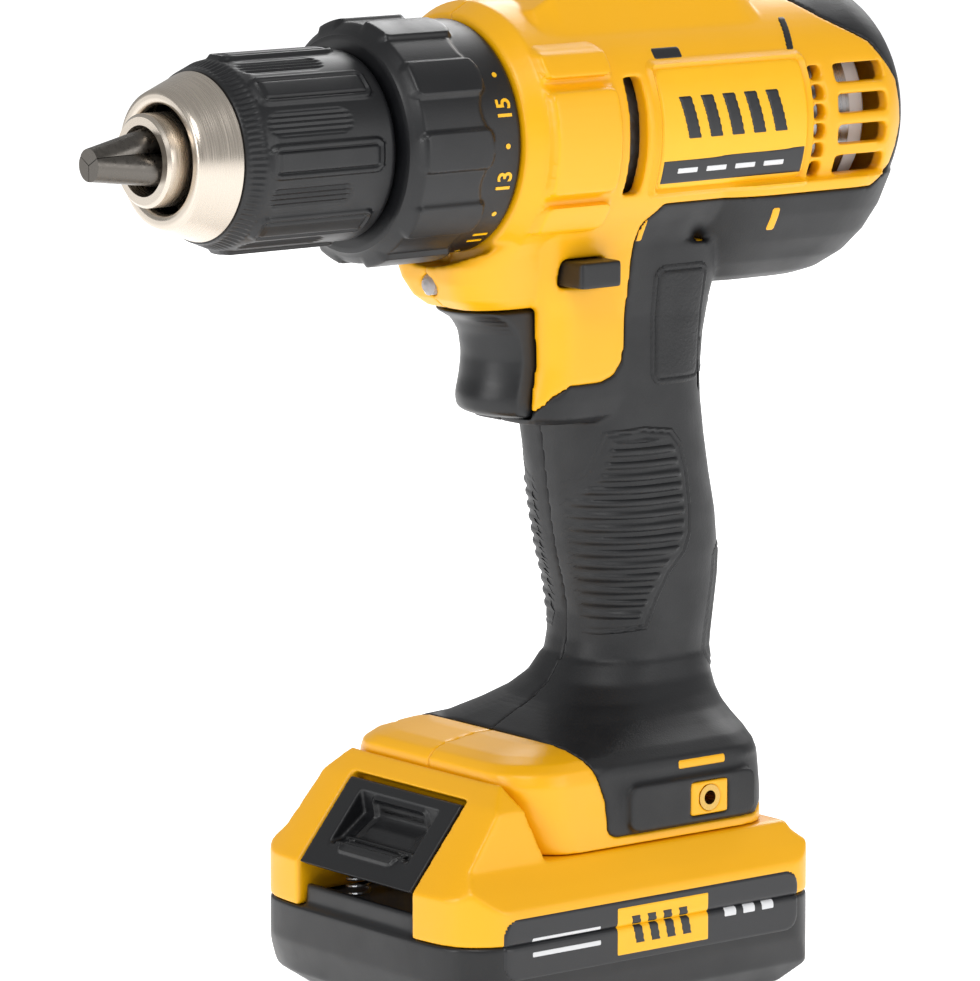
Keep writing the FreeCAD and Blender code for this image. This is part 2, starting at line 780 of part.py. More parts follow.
def jaw_rod(radius, extra, turn):
    """A slanted round rod along one jaw's line, longer by extra at the back."""
    angle = math.radians(size.jaw_angle)
    length = size.jaw_length + extra
    back = FreeCAD.Vector(size.jaw_tip + 0.5 - length * math.cos(angle), 0, length * math.sin(angle))
    rod = Part.makeCylinder(radius, length + 6.0, back,
                            FreeCAD.Vector(math.cos(angle), 0, -math.sin(angle)))
    rod.rotate(FreeCAD.Vector(0, 0, 0), FreeCAD.Vector(1, 0, 0), turn)
    return rod


def jaw_wedge(turn):
    """The third of the space that belongs to one jaw, less a small gap."""
    reach = 60.0
    spread = math.radians(60)
    points = [FreeCAD.Vector(0, 0, size.jaw_gap / math.sin(spread)),
              FreeCAD.Vector(0, reach * math.sin(spread), reach * math.cos(spread)),
              FreeCAD.Vector(0, 0, reach),
              FreeCAD.Vector(0, -reach * math.sin(spread), reach * math.cos(spread))]
    face = Part.Face(Part.makePolygon(points + points[:1]))
    wedge = face.extrude(FreeCAD.Vector(size.jaw_tip, 0, 0))
    wedge.rotate(FreeCAD.Vector(0, 0, 0), FreeCAD.Vector(1, 0, 0), turn)
    return wedge


def make_chuck():
    """The keyless chuck: body, three jaws, nut, sleeve and nose cone."""
    profile = turned("chuck_blank", [
        ("chuck_body_back", "spindle_thread_radius"), ("chuck_body_back", "14"),
        ("chuck_body_back+3", "chuck_body_radius"), ("jaw_nut_back-0.3", "chuck_body_radius"),
        ("jaw_nut_back-0.3", "14.6"), ("jaw_nut_front+0.3", "14.6"),
        ("jaw_nut_front+0.3", "chuck_body_radius"), ("cone_back-4.5", "chuck_body_radius"),
        ("cone_back+2.5", "nose_radius"), ("nose_front-0.7", "nose_radius"),
        ("nose_front", "nose_radius-0.7"), ("nose_front", "nose_hole_radius"),
        ("nose_front-3.5", "bit_bore_radius"), ("chuck_body_back+14", "bit_bore_radius"),
        ("chuck_body_back+14", "spindle_thread_radius")])
    doc.recompute()
    turns = [360.0 / size.jaw_count * index for index in range(int(size.jaw_count))]
    lift = FreeCAD.Vector(0, 0, size.axis_height)
    bores = []
    for turn in turns:
        bore = jaw_rod(size.jaw_radius + size.running_gap, 29.5, turn)
        bore.translate(lift)
        bores.append(bore)
    keep(freeform("chuck_body", largest(profile.Shape.cut(bores))), "chuck_body")
    for index, turn in enumerate(turns, 1):
        jaw = jaw_rod(size.jaw_radius, 0, turn).common(jaw_wedge(turn))
        jaw.translate(lift)
        keep(freeform(f"chuck_jaw_{index}", jaw), f"chuck_jaw_{index}")
    keep(turned("chuck_screw", [
        ("chuck_body_back+14.6", "0"), ("chuck_body_back+14.6", "5.4"), ("chuck_body_back+18", "5.4"),
        ("chuck_body_back+18", "0")]), "chuck_screw")
    keep(turned("jaw_nut", [
        ("jaw_nut_back", "15.3"), ("jaw_nut_back", "sleeve_bore"), ("jaw_nut_front", "sleeve_bore"),
        ("jaw_nut_front", "15.3")]), "jaw_nut")
    keep(turned("nose_cone", [
        ("cone_back", "sleeve_bore-1.2"), ("cone_back", "cone_back_radius"),
        ("cone_front", "cone_front_radius"), ("cone_front", "cone_hole_radius"),
        ("cone_front-1.6", "cone_hole_radius-0.4"), ("cone_front-3", "cone_hole_radius+0.6"),
        ("cone_back+2", "cone_hole_radius+3.0")]), "nose_cone")
    sleeve = turned("chuck_sleeve", [
        ("sleeve_back", "sleeve_bore"), ("sleeve_back", "sleeve_radius-0.6"),
        ("sleeve_back+1", "sleeve_radius"), ("cone_back-5.5", "sleeve_radius"),
        ("cone_back-0.6", "cone_back_radius+0.7"), ("cone_back", "cone_back_radius+0.4"),
        ("cone_back", "sleeve_bore-0.8"), ("cone_back-1.5", "sleeve_bore-0.8"),
        ("cone_back-1.5", "sleeve_bore")])
    add_ring(sleeve, "Pad", "sleeve_rib", [
        ("-sleeve_rib_width/2", "sleeve_radius-1.4"), ("sleeve_rib_width/2", "sleeve_radius-1.4"),
        ("sleeve_rib_width/2-0.8", "sleeve_radius+sleeve_rib_rise-0.6"),
        ("-sleeve_rib_width/2+0.8", "sleeve_radius+sleeve_rib_rise-0.6")],
        "sleeve_back+4", "cone_back-sleeve_back-12", "sleeve_ribs")
    keep(sleeve, "chuck_sleeve")
    keep(turned("spindle", [
        ("output_gears_front+1.5", "0"), ("output_gears_front+1.5", "7"), ("output_gears_front+7", "7"),
        ("output_gears_front+7", "spindle_radius"), ("chuck_body_back-2", "spindle_radius"),
        ("chuck_body_back-2", "11"), ("chuck_body_back", "11"),
        ("chuck_body_back", "spindle_thread_radius"), ("chuck_body_back+14", "spindle_thread_radius"),
        ("chuck_body_back+14", "0")]), "spindle")


def make_clutch():
    """The clutch collar with its nut, spring and pressure plate."""
    collar = turned("clutch_collar", [
        ("collar_back", "collar_bore"), ("collar_back", "collar_radius-0.5"),
        ("collar_back+0.5", "collar_radius"), ("collar_step", "collar_radius"),
        ("collar_front-2.2", "collar_radius"), ("collar_front", "collar_radius-2.2"),
        ("collar_front", "collar_lip_bore"), ("collar_front-2.5", "collar_lip_bore"),
        ("collar_front-2.5", "collar_bore")])
    add_ring(collar, "Pad", "collar_knob", [
        ("-collar_knob_width/2", "collar_radius-1.5"), ("collar_knob_width/2", "collar_radius-1.5"),
        ("collar_knob_width/2-1.2", "collar_radius+collar_knob_rise"),
        ("-collar_knob_width/2+1.2", "collar_radius+collar_knob_rise")],
        "collar_step-0.5", "20", "collar_knobs")
    keep(collar, "clutch_collar")
    keep(turned("clutch_nut", [
        ("case_nose_front-7", "case_nose_radius+running_gap"),
        ("case_nose_front-7", "collar_bore-free_gap"), ("case_nose_front-3", "collar_bore-free_gap"),
        ("case_nose_front-3", "case_nose_radius+running_gap")]), "clutch_nut")
    keep(turned("clutch_plate", [
        ("collar_back+3.0", "case_nose_radius+0.1"), ("collar_back+3.0", "collar_bore-free_gap"),
        ("collar_back+4.5", "collar_bore-free_gap"), ("collar_back+4.5", "case_nose_radius+0.1")]),
        "clutch_plate")
    low = size.collar_back + 4.5 + 0.9
    high = size.case_nose_front - 7.0 - 0.9
    keep(coil_spring("clutch_spring", size.case_nose_radius + 1.6, 0.9, low, high, 4), "clutch_spring")


def coil(mean_radius, wire_radius, length, turns):
    """A coil of eight-sided wire that climbs the Z axis."""
    steps = 16
    sides = 8
    rings = []
    for step in range(turns * steps + 1):
        turn = 2 * math.pi * step / steps
        outward = FreeCAD.Vector(math.cos(turn), math.sin(turn), 0)
        middle = outward * mean_radius + FreeCAD.Vector(0, 0, length * step / (turns * steps))
        corners = []
        for side in range(sides + 1):
            round_wire = 2 * math.pi * (side % sides) / sides
            rise = FreeCAD.Vector(0, 0, wire_radius * math.sin(round_wire))
            corners.append(middle + outward * (wire_radius * math.cos(round_wire)) + rise)
        rings.append(Part.makePolygon(corners))
    return Part.makeLoft(rings, True, True)


def coil_spring(name, mean_radius, wire_radius, low, high, turns):
    """A coil spring along X about the output axis."""
    spring = freeform(name, coil(mean_radius, wire_radius, high - low, turns))
    spring.Placement = FreeCAD.Placement(FreeCAD.Vector(low, 0, size.axis_height), UP_AXIS_X)
    return spring


# ---------------------------------------------------------------- gearbox

def tooth_outline(teeth, addendum, dedendum, slack):
    """The closed outline of an involute gear's teeth, as points about the origin."""
    module = size.tooth_module
    pitch = module * teeth / 2
    base = pitch * math.cos(math.radians(25))
    root = pitch - dedendum * module
    tip = pitch + addendum * module
    half_tooth = math.pi / (2 * teeth) - slack / (2 * pitch)

    def roll(radius):
        """The involute's turn between its base circle and a radius."""
        steep = math.acos(min(1.0, base / radius))
        return math.tan(steep) - steep

    start = max(root, base)
    points = []
    for tooth in range(int(teeth)):
        middle = 2 * math.pi * tooth / teeth
        flank = []
        for step in range(4):
            radius = start + (tip - start) * step / 3
            flank.append((radius, half_tooth + roll(pitch) - roll(radius)))
        if root < start:
            flank.insert(0, (root, flank[0][1]))
        rising = [(radius, middle - turn) for radius, turn in flank]
        falling = [(radius, middle + turn) for radius, turn in reversed(flank)]
        for radius, turn in rising + falling:
            points.append(FreeCAD.Vector(0, radius * math.cos(turn), radius * math.sin(turn)))
    return points


def gear(teeth, x_low, x_high, bore, y=0.0, z=0.0):
    """A spur gear on a line along X, at y and z from the output axis."""
    outline = tooth_outline(teeth, 0.8, 1.05, 0.14)
    wires = [Part.makePolygon(outline + outline[:1])]
    if bore > 0:
        wires.append(Part.Wire(Part.makeCircle(bore, FreeCAD.Vector(0, 0, 0), FreeCAD.Vector(1, 0, 0))))
    face = Part.makeFace(wires, "Part::FaceMakerBullseye")
    solid = face.extrude(FreeCAD.Vector(x_high - x_low, 0, 0))
    solid.translate(FreeCAD.Vector(x_low, y, size.axis_height + z))
    return solid


def ring_gear(x_low, x_high):
    """A ring with teeth inside it; its tooth spaces are those of a gear of the same count."""
    spaces = tooth_outline(size.ring_teeth, 1.05, 0.8, -0.14)
    outside = Part.Wire(Part.makeCircle(size.gear_case_bore - size.running_gap, FreeCAD.Vector(0, 0, 0),
                                        FreeCAD.Vector(1, 0, 0)))
    face = Part.makeFace([outside, Part.makePolygon(spaces + spaces[:1])], "Part::FaceMakerBullseye")
    solid = face.extrude(FreeCAD.Vector(x_high - x_low, 0, 0))
    solid.translate(FreeCAD.Vector(x_low, 0, size.axis_height))
    return solid


def planet_places():
    """The planets' places around the output axis, as (y, z) pairs."""
    reach = size.tooth_module * (size.sun_teeth + size.planet_teeth) / 2
    turns = [2 * math.pi * index / size.planet_count for index in range(int(size.planet_count))]
    return [(reach * math.cos(turn), reach * math.sin(turn)) for turn in turns]


def carrier(plate_low, plate_high, bore, pins_low):
    """A planet carrier: a plate with one pin for each planet behind it."""
    axis = FreeCAD.Vector(1, 0, 0)
    centre = FreeCAD.Vector(plate_low, 0, size.axis_height)
    plate = Part.makeCylinder(16.3, plate_high - plate_low, centre, axis)
    pins = []
    for y, z in planet_places():
        pins.append(Part.makeCylinder(size.planet_pin_radius, plate_low + 1.0 - pins_low,
                                      FreeCAD.Vector(pins_low, y, size.axis_height + z), axis))
    body = plate.multiFuse(pins)
    if bore > 0:
        body = body.cut(Part.makeCylinder(bore, plate_high - plate_low, centre, axis))
    return body


def make_gearbox():
    """Two planetary stages between the motor and the spindle."""
    gap = size.running_gap
    width = size.gear_width
    bore = size.planet_pin_radius + gap
    out_front = size.output_gears_front
    first_front = size.first_gears_front
    keep(turned("gear_case", [
        ("gear_case_back", "gear_case_bore"), ("gear_case_back", "gear_case_radius"),
        ("barrel_front-2.5", "gear_case_radius"), ("barrel_front-2.5", "case_flange_radius"),
        ("collar_back+2.6", "case_flange_radius"), ("collar_back+2.6", "case_nose_radius"),
        ("case_nose_front", "case_nose_radius"), ("case_nose_front", "bearing_radius+running_gap"),
        ("case_nose_front-bearing_width-1", "bearing_radius+running_gap"),
        ("case_nose_front-bearing_width-1", "spindle_radius+2"),
        ("output_gears_front+8", "spindle_radius+2"), ("output_gears_front+8", "gear_case_bore")]),
        "gear_case")
    keep(turned("front_bearing", [
        ("case_nose_front-bearing_width", "spindle_radius"),
        ("case_nose_front-bearing_width", "bearing_radius"),
        ("case_nose_front-0.5", "bearing_radius"), ("case_nose_front-0.5", "spindle_radius")]),
        "front_bearing")
    keep(turned("motor_plate", [
        ("gear_case_back", "9"), ("gear_case_back", "gear_case_bore-0.1"),
        ("gear_case_back+2.5", "gear_case_bore-0.1"), ("gear_case_back+2.5", "9")]), "motor_plate")
    for name, front in (("output", out_front), ("first", first_front)):
        keep(freeform(name + "_ring_gear", ring_gear(front - width - 0.6, front + 0.6)), name + "_ring_gear")
        for index, (y, z) in enumerate(planet_places(), 1):
            planet = gear(size.planet_teeth, front - width, front, bore, y, z)
            keep(freeform(f"{name}_planet_{index}", planet), f"{name}_planet_{index}")
    out_carrier = carrier(out_front + 0.7, out_front + 6.5, 7.0, out_front - width - 0.4)
    keep(freeform("output_carrier", out_carrier), "output_carrier")
    plate = carrier(first_front + 0.7, first_front + 5.0, 0, first_front - width - 0.4)
    sun = gear(size.sun_teeth, first_front + 4.5, out_front - 0.2, 0)
    keep(freeform("first_carrier", plate.fuse(sun)), "first_carrier")
    pinion = gear(size.sun_teeth, first_front - width, first_front - 0.2, size.shaft_radius)
    keep(freeform("drive_pinion", pinion), "drive_pinion")


# ---------------------------------------------------------------- motor

def make_motor():
    """The brushed motor, its fan and its bearings."""
    keep(turned("motor_can", [
        ("motor_back", "motor_radius-motor_wall"), ("motor_back", "motor_radius"),
        ("motor_front", "motor_radius"), ("motor_front", "6.5"), ("motor_front-motor_wall", "6.5"),
        ("motor_front-motor_wall", "motor_radius-motor_wall")]), "motor_can")
    magnets = turned("magnet_ring", [
        ("motor_back+6", "motor_radius-motor_wall-magnet_thickness"),
        ("motor_back+6", "motor_radius-motor_wall"), ("motor_front-6", "motor_radius-motor_wall"),
        ("motor_front-6", "motor_radius-motor_wall-magnet_thickness")])
    gap = box("magnet_gap", ("motor_back", "-6", "axis_height-40"), ("motor_front", "6", "axis_height+40"))
    keep(cut("motor_magnets", magnets, gap), "motor_magnets")
    keep(turned("motor_end_cap", [
        ("motor_cap_back", "4.2"), ("motor_cap_back", "10"), ("motor_cap_back+3", "12"),
        ("motor_cap_back+3", "motor_radius-1.5"), ("motor_cap_back+4.5", "motor_radius-0.2"),
        ("motor_back", "motor_radius-0.2"), ("motor_back", "9.2"), ("motor_cap_back+5.5", "9.2"),
        ("motor_cap_back+5.5", "4.2")]), "motor_end_cap")
    rotor = turned("rotor_core", [
        ("motor_back+8", "shaft_radius"), ("motor_back+8", "rotor_radius"),
        ("motor_front-8", "rotor_radius"), ("motor_front-8", "shaft_radius")])
    add_ring(rotor, "Pocket", "rotor_slot", [
        ("-2.2", "7"), ("2.2", "7"), ("1.2", "rotor_radius+1"), ("-1.2", "rotor_radius+1")],
        "motor_back", "motor_front-motor_back", "rotor_slots")
    keep(rotor, "rotor_core")
    keep(turned("commutator", [
        ("motor_cap_back+6", "shaft_radius"), ("motor_cap_back+6", "5.2"), ("motor_back+7", "5.2"),
        ("motor_back+7", "shaft_radius")]), "commutator")
    keep(turned("motor_shaft", [
        ("motor_cap_back+0.6", "0"), ("motor_cap_back+0.6", "shaft_radius"),
        ("first_gears_front", "shaft_radius"), ("first_gears_front", "0")]), "motor_shaft")
    rear = turned("rear_bearing", [
        ("motor_cap_back+0.5", "shaft_radius"), ("motor_cap_back+0.5", "4.2"),
        ("motor_cap_back+5.2", "4.2"), ("motor_cap_back+5.2", "shaft_radius")])
    front = turned("middle_bearing", [
        ("motor_front-motor_wall-2.8", "shaft_radius"), ("motor_front-motor_wall-2.8", "6.4"),
        ("motor_front-0.1", "6.4"), ("motor_front-0.1", "shaft_radius")])
    keep(grouped("motor_bearings", [rear, front]), "motor_bearings")
    fan = turned("fan", [
        ("motor_front+1.2", "shaft_radius"), ("motor_front+1.2", "7"), ("motor_front+2.2", "7"),
        ("motor_front+2.2", "fan_radius"), ("motor_front+3.2", "fan_radius"),
        ("motor_front+3.2", "6"), ("motor_front+6.5", "6"), ("motor_front+6.5", "shaft_radius")])
    add_ring(fan, "Pad", "fan_blade", [
        ("-0.5", "5.5"), ("0.5", "5.5"), ("1.8", "fan_radius-0.3"), ("0.8", "fan_radius-0.3")],
        "motor_front+3", "3.5", "fan_blades")
    keep(fan, "fan")
    brushes = []
    for side in (-1, 1):
        low = "5.4" if side > 0 else "-12.4"
        high = "12.4" if side > 0 else "-5.4"
        brushes.append(box(f"brush_{side + 2}", ("motor_back+0.3", low, "axis_height-2.5"),
                           ("motor_back+5", high, "axis_height+2.5")))
    keep(grouped("motor_brushes", brushes), "motor_brushes")


# ---------------------------------------------------------------- controls

def make_controls():
    """Trigger, switch, direction bar, speed selector and work lamp."""
    blade = side_prism("trigger_blade", [
        ("trigger_back", "trigger_bottom+5"), ("trigger_back+3.5", "trigger_bottom+1.2"),
        ("9", "trigger_bottom"), ("14.5", "trigger_bottom"),
        ("17.6", "trigger_bottom+1.4"), ("18.2", "trigger_bottom+4"), ("17", "trigger_bottom+8.5"),
        ("16.4", "trigger_bottom+13.5"), ("17.2", "trigger_top-6"), ("19.6", "trigger_top-2.6"),
        ("24", "trigger_top-0.4"), ("24", "trigger_top"), ("trigger_back", "trigger_top")],
        "-trigger_half_width", "trigger_half_width")
    stem = cylinder("trigger_stem", "trigger_stem_radius", "15.5",
                    ("trigger_back-15", "0", "trigger_stem_z"), UP_AXIS_X)
    keep(fused("trigger", [blade, stem]), "trigger")
    block = box("switch_block", ("switch_back", "-switch_half_width", "trigger_stem_z-11"),
                ("switch_front", "switch_half_width", "trigger_stem_z+10"))
    stem_hole = cylinder("switch_stem_hole", "trigger_stem_radius+running_gap", "24",
                         ("switch_front-23", "0", "trigger_stem_z"), UP_AXIS_X)
    keep(cut("switch_module", block, stem_hole), "switch_module")
    low = size.switch_front + 0.6
    high = size.trigger_back - 0.6
    spring = coil_spring("trigger_spring", 4.2, 0.5, low, high, 5)
    spring.Placement = FreeCAD.Placement(FreeCAD.Vector(low, 0, size.trigger_stem_z), UP_AXIS_X)
    keep(spring, "trigger_spring")
    keep(box("direction_bar", (
        "direction_bar_x-direction_bar_long/2", "-direction_bar_right",
        "direction_bar_z-direction_bar_high/2"), (
        "direction_bar_x+direction_bar_long/2", "direction_bar_left",
        "direction_bar_z+direction_bar_high/2")), "direction_bar")
    slider = box("selector_slider", (
        "selector_back", "-selector_half_width", "axis_height+26.2"), (
        "selector_back+selector_length", "selector_half_width", "axis_height+hump_rise-0.4"))
    ridge = box("selector_ridge", (
        "selector_back+5", "-selector_half_width+1.5", "axis_height+hump_rise-1"), (
        "selector_back+10", "selector_half_width-1.5", "axis_height+hump_rise+1.2"))
    keep(fused("speed_selector", [slider, ridge]), "speed_selector")
    fork_ring = turned("fork_ring", [
        ("selector_back+6", "gear_case_radius+0.3"), ("selector_back+6", "barrel_cavity_radius-0.3"),
        ("selector_back+10", "barrel_cavity_radius-0.3"), ("selector_back+10", "gear_case_radius+0.3")])
    fork_half = box("fork_half", ("selector_back", "-40", "axis_height-4"),
                    ("selector_back+20", "40", "axis_height+40"))
    keep(shared("shift_fork", [fork_ring, fork_half]), "shift_fork")
    keep(turned("lamp_lens", [
        ("22", "0"), ("22", "lamp_radius"), ("29.2", "lamp_radius"), ("30.0", "lamp_radius-0.9"),
        ("30.3", "0")], "lamp_z"), "lamp_lens")
    keep(box("terminal_block", ("foot_back+6", "-19", "rail_top+1.4"), ("-10", "19", "rail_top+6.6")),
         "terminal_block")


# ---------------------------------------------------------------- battery

def rounded_block(name, low_z, high_z, shrink="0", corner="battery_corner"):
    """A block with the battery's plan outline."""
    block = doc.addObject("PartDesign::Body", name)
    sketch = outline_sketch(block, name + "_plan", "XY_Plane", [
        (f"battery_back+{shrink}", f"-battery_half_width+{shrink}"),
        (f"battery_front-{shrink}", f"-battery_half_width+{shrink}"),
        (f"battery_front-{shrink}", f"battery_half_width-{shrink}"),
        (f"battery_back+{shrink}", f"battery_half_width-{shrink}")], low_z)
    pad = block.newObject("PartDesign::Pad", name + "_pad")
    pad.Profile = sketch
    bind(pad, "Length", f"({high_z})-({low_z})")
    doc.recompute()
    upright = [f"Edge{index}" for index, edge in enumerate(pad.Shape.Edges, 1)
               if abs(edge.Vertexes[0].Z - edge.Vertexes[1].Z) > 1]
    round_off = block.newObject("PartDesign::Fillet", name + "_corners")
    round_off.Base = (pad, upright)
    bind(round_off, "Radius", corner)
    return block


def cell_places():
    middle = (size.cell_count - 1) / 2
    return [f"cell_pitch*{index - middle}" for index in range(int(size.cell_count))]


def make_battery():
    """The battery pack: case, cells, board, contacts and latch."""
    lower = rounded_block("lower_block", "0", "battery_seam")
    bevel = front_prism("lower_bevel", [
        ("-battery_half_width", "12"), ("-battery_half_width+2.2", "5.5"), ("-battery_half_width+7.2", "0"),
        ("battery_half_width-7.2", "0"), ("battery_half_width-2.2", "5.5"), ("battery_half_width", "12"),
        ("battery_half_width", "battery_seam"), ("-battery_half_width", "battery_seam")],
        "battery_back-1", "battery_front+1")
    chin = side_prism("lower_chin", [
        ("battery_back+7", "0"), ("battery_front-11", "0"), ("battery_front-3", "5"),
        ("battery_front", "13"), ("battery_front", "battery_seam"), ("battery_back", "battery_seam"),
        ("battery_back", "11"), ("battery_back+2", "5")], "-60", "60")
    lower_form = shared("lower_form", [lower, bevel, chin])
    hollow_across = front_prism("lower_hollow_across", [
        ("-battery_half_width+5", "5.8"), ("-battery_half_width+7.9", "battery_wall"),
        ("battery_half_width-7.9", "battery_wall"), ("battery_half_width-5", "5.8"),
        ("battery_half_width-5", "battery_seam+1"), ("-battery_half_width+5", "battery_seam+1")],
        "battery_back-1", "battery_front+1")
    hollow_along = side_prism("lower_hollow_along", [
        ("battery_back+9", "battery_wall"), ("battery_front-12.2", "battery_wall"),
        ("battery_front-5.4", "7"), ("battery_front-2.8", "13.6"),
        ("battery_front-battery_wall", "battery_seam+1"), ("battery_back+battery_wall", "battery_seam+1"),
        ("battery_back+battery_wall", "11.5"), ("battery_back+4.6", "6.4")], "-60", "60")
    lower_hollow = shared("lower_hollow", [hollow_across, hollow_along])
    front_wall = box("lower_front_wall", ("battery_front-3.5", "-20", "battery_seam-1"),
                     ("battery_front-1.5", "20", "latch_bottom-1-latch_travel-free_gap"))
    hollowed = cut("lower_hollowed", lower_form, lower_hollow)
    keep(fused("battery_lower_case", [hollowed, front_wall]), "battery_lower_case")

    upper = rounded_block("upper_block", "battery_seam", "60")
    side_shape = side_prism("upper_side", [
        ("battery_back", "battery_seam"), ("battery_front", "battery_seam"),
        ("battery_front", "latch_bottom"), ("latch_top_x", "latch_top"), ("31", "55.3"),
        ("30.6", "55.3"), ("26.6", "foot_bottom+8"), ("22.6", "battery_deck"),
        ("battery_back+5", "battery_deck"), ("battery_back+4.5", "battery_deck-2"),
        ("battery_back", "battery_deck-6")], "-60", "60")
    shoulders = front_prism("upper_shoulders", [
        ("-battery_half_width", "battery_seam"), ("battery_half_width", "battery_seam"),
        ("battery_half_width", "29.5"), ("battery_half_width-2.8", "33"), ("34", "battery_deck"),
        ("32.5", "50"), ("27", "56"), ("-27", "56"), ("-32.5", "50"), ("-34", "battery_deck"),
        ("-battery_half_width+2.8", "33"), ("-battery_half_width", "29.5")],
        "battery_back-1", "battery_front+1")
    upper_form = shared("upper_form", [upper, side_shape, shoulders])
    rails = box("battery_rails", ("foot_back+5", "-rail_half_width", "battery_deck-1"),
                ("8", "rail_half_width", "rail_top"))
    contact_slots = [box(f"contact_slot_{index}", (
        "foot_back+4", f"{index * 9 - 14.6}", "battery_deck+3"), (
        "-16", f"{index * 9 - 12.4}", "rail_top+1")) for index in range(4)]
    narrow_hollow = box("upper_narrow_hollow", (
        "battery_back+8", "-31", "battery_seam-1"), ("20", "31", "battery_deck-battery_wall"))
    seam_hollow = box("upper_seam_hollow", (
        "battery_back+battery_wall", "-battery_half_width+5", "battery_seam-1"), (
        "battery_front-3.5", "battery_half_width-5", "cell_z+cell_radius+tray_cover+0.7"))
    latch_room = side_prism("latch_room", [
        ("27", "battery_seam-1"), ("battery_front+2", "battery_seam-1"),
        ("battery_front+2", "latch_top+8"), ("latch_top_x-1.2", "latch_top+0.5"), ("31", "latch_top-1"),
        ("30", "34")], "-latch_half_width-latch_gap", "latch_half_width+latch_gap")
    upper_tools = fused("upper_tools", [narrow_hollow, seam_hollow, latch_room] + contact_slots)
    upper_solid = fused("upper_solid", [upper_form, rails])
    keep(cut("battery_upper_case", upper_solid, upper_tools), "battery_upper_case")

    plate = side_prism("latch_plate", [
        ("battery_front-0.2", "latch_bottom"), ("latch_top_x+0.2", "latch_top-0.4"),
        ("latch_top_x-3.0", "latch_top-1.4"), ("33.5", "latch_bottom"), ("34", "latch_bottom-1"),
        ("battery_front-2.2", "latch_bottom-1")], "-latch_half_width", "latch_half_width")
    dish = side_prism("latch_dish", [
        ("battery_front-3.4", "latch_bottom+4.4"), ("battery_front+6", "latch_bottom+4.4"),
        ("latch_top_x+8", "latch_top+6"), ("latch_top_x+1.6", "latch_top-2.6"),
        ("latch_top_x+0.6", "latch_top-8"), ("battery_front-7.5", "latch_bottom+5.2")], "-14.5", "14.5")
    ribs = []
    for index in range(3):
        x = f"battery_front-{4.4 + 2.8 * index}"
        z = f"latch_bottom+{4.2 + 0.9 * index}"
        ribs.append(box(f"latch_rib_{index}", (f"{x}-1.2", "-12.4", f"{z}-1.5"), (x, "12.4", f"{z}+1.2")))
    dished = cut("latch_dished", plate, dish)
    keep(fused("battery_latch", [dished] + ribs), "battery_latch")
    wire_radius = 0.4
    spring_low = size.cell_z + size.cell_radius + size.tray_cover + wire_radius
    spring_high = size.latch_bottom - 1.0 - wire_radius
    springs = []
    for side in (-1, 1):
        spring = coil(2.6, wire_radius, spring_high - spring_low, 4)
        spring.translate(FreeCAD.Vector(size.battery_front - 13.0, side * 15.0, spring_low))
        springs.append(spring)
    keep(freeform("latch_springs", Part.makeCompound(springs)), "latch_springs")

    cells = []
    holes = []
    for index, x in enumerate(cell_places(), 1):
        cells.append(cylinder(f"cell_{index}", "cell_radius", "cell_length",
                              (x, "-cell_length/2", "cell_z"), UP_AXIS_Y))
        holes.append(cylinder(f"cell_hole_{index}", "cell_radius+running_gap", "cell_length",
                              (x, "-cell_length/2", "cell_z"), UP_AXIS_Y))
    keep(grouped("battery_cells", cells), "battery_cells")
    tray_end = "cell_pitch*(cell_count-1)/2+cell_radius+0.7"
    tray = box("cell_tray", (f"-({tray_end})", "-cell_length/2+3.5", "cell_z-1"),
               (tray_end, "cell_length/2-3.5", "cell_z+cell_radius+tray_cover"))
    keep(cut("cell_holder", tray, fused("cell_holes", holes)), "cell_holder")
    keep(box("battery_board", ("-42", "-26", "cell_z+cell_radius+tray_cover+0.8"),
             ("16", "26", "cell_z+cell_radius+tray_cover+2.4")), "battery_board")
    contacts = [box(f"contact_{index}", ("foot_back+8", f"{index * 9 - 13.9}", "battery_deck+3.2"),
                    ("-18", f"{index * 9 - 13.1}", "rail_top-1.5")) for index in range(4)]
    keep(grouped("battery_contacts", contacts), "battery_contacts")
    outline = [("-42", "14"), ("36", "14"), ("40", "18"), ("40", "23.5"), ("36", "27.7"),
               ("-42", "27.7"), ("-46", "23.5"), ("-46", "18")]
    labels = [
        side_prism("left_label", outline, "battery_half_width", "battery_half_width+label_thickness"),
        side_prism("right_label", outline, "-battery_half_width-label_thickness", "-battery_half_width")]
    keep(grouped("battery_labels", labels), "battery_labels")


# ---------------------------------------------------------------- output

def check_document():
    """Stop if any object failed or any sub-part is not a sound solid."""
    for thing in doc.Objects:
        if "Invalid" in thing.State or "Error" in thing.State:
            raise RuntimeError(f"{thing.Name} failed: {thing.State}")
    for node in nodes:
        if node.Shape.isNull() or not node.Shape.isValid() or not node.Shape.Solids:
            raise RuntimeError(f"{node.Label} has no sound solid")


def write_steps():
    os.makedirs("parts", exist_ok=True)
    for node in nodes:
        node.Shape.exportStep(f"parts/{node.Label}.step")


make_chuck()
make_clutch()
make_gearbox()
make_motor()
make_controls()
make_battery()
make_fasteners()
make_nameplates()
make_housing()
doc.recompute()
check_document()
write_steps()
print(len(nodes), "sub-parts written")
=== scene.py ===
import json
import math

import bmesh
import bpy
import numpy as np
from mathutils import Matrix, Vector
from mathutils.bvhtree import BVHTree


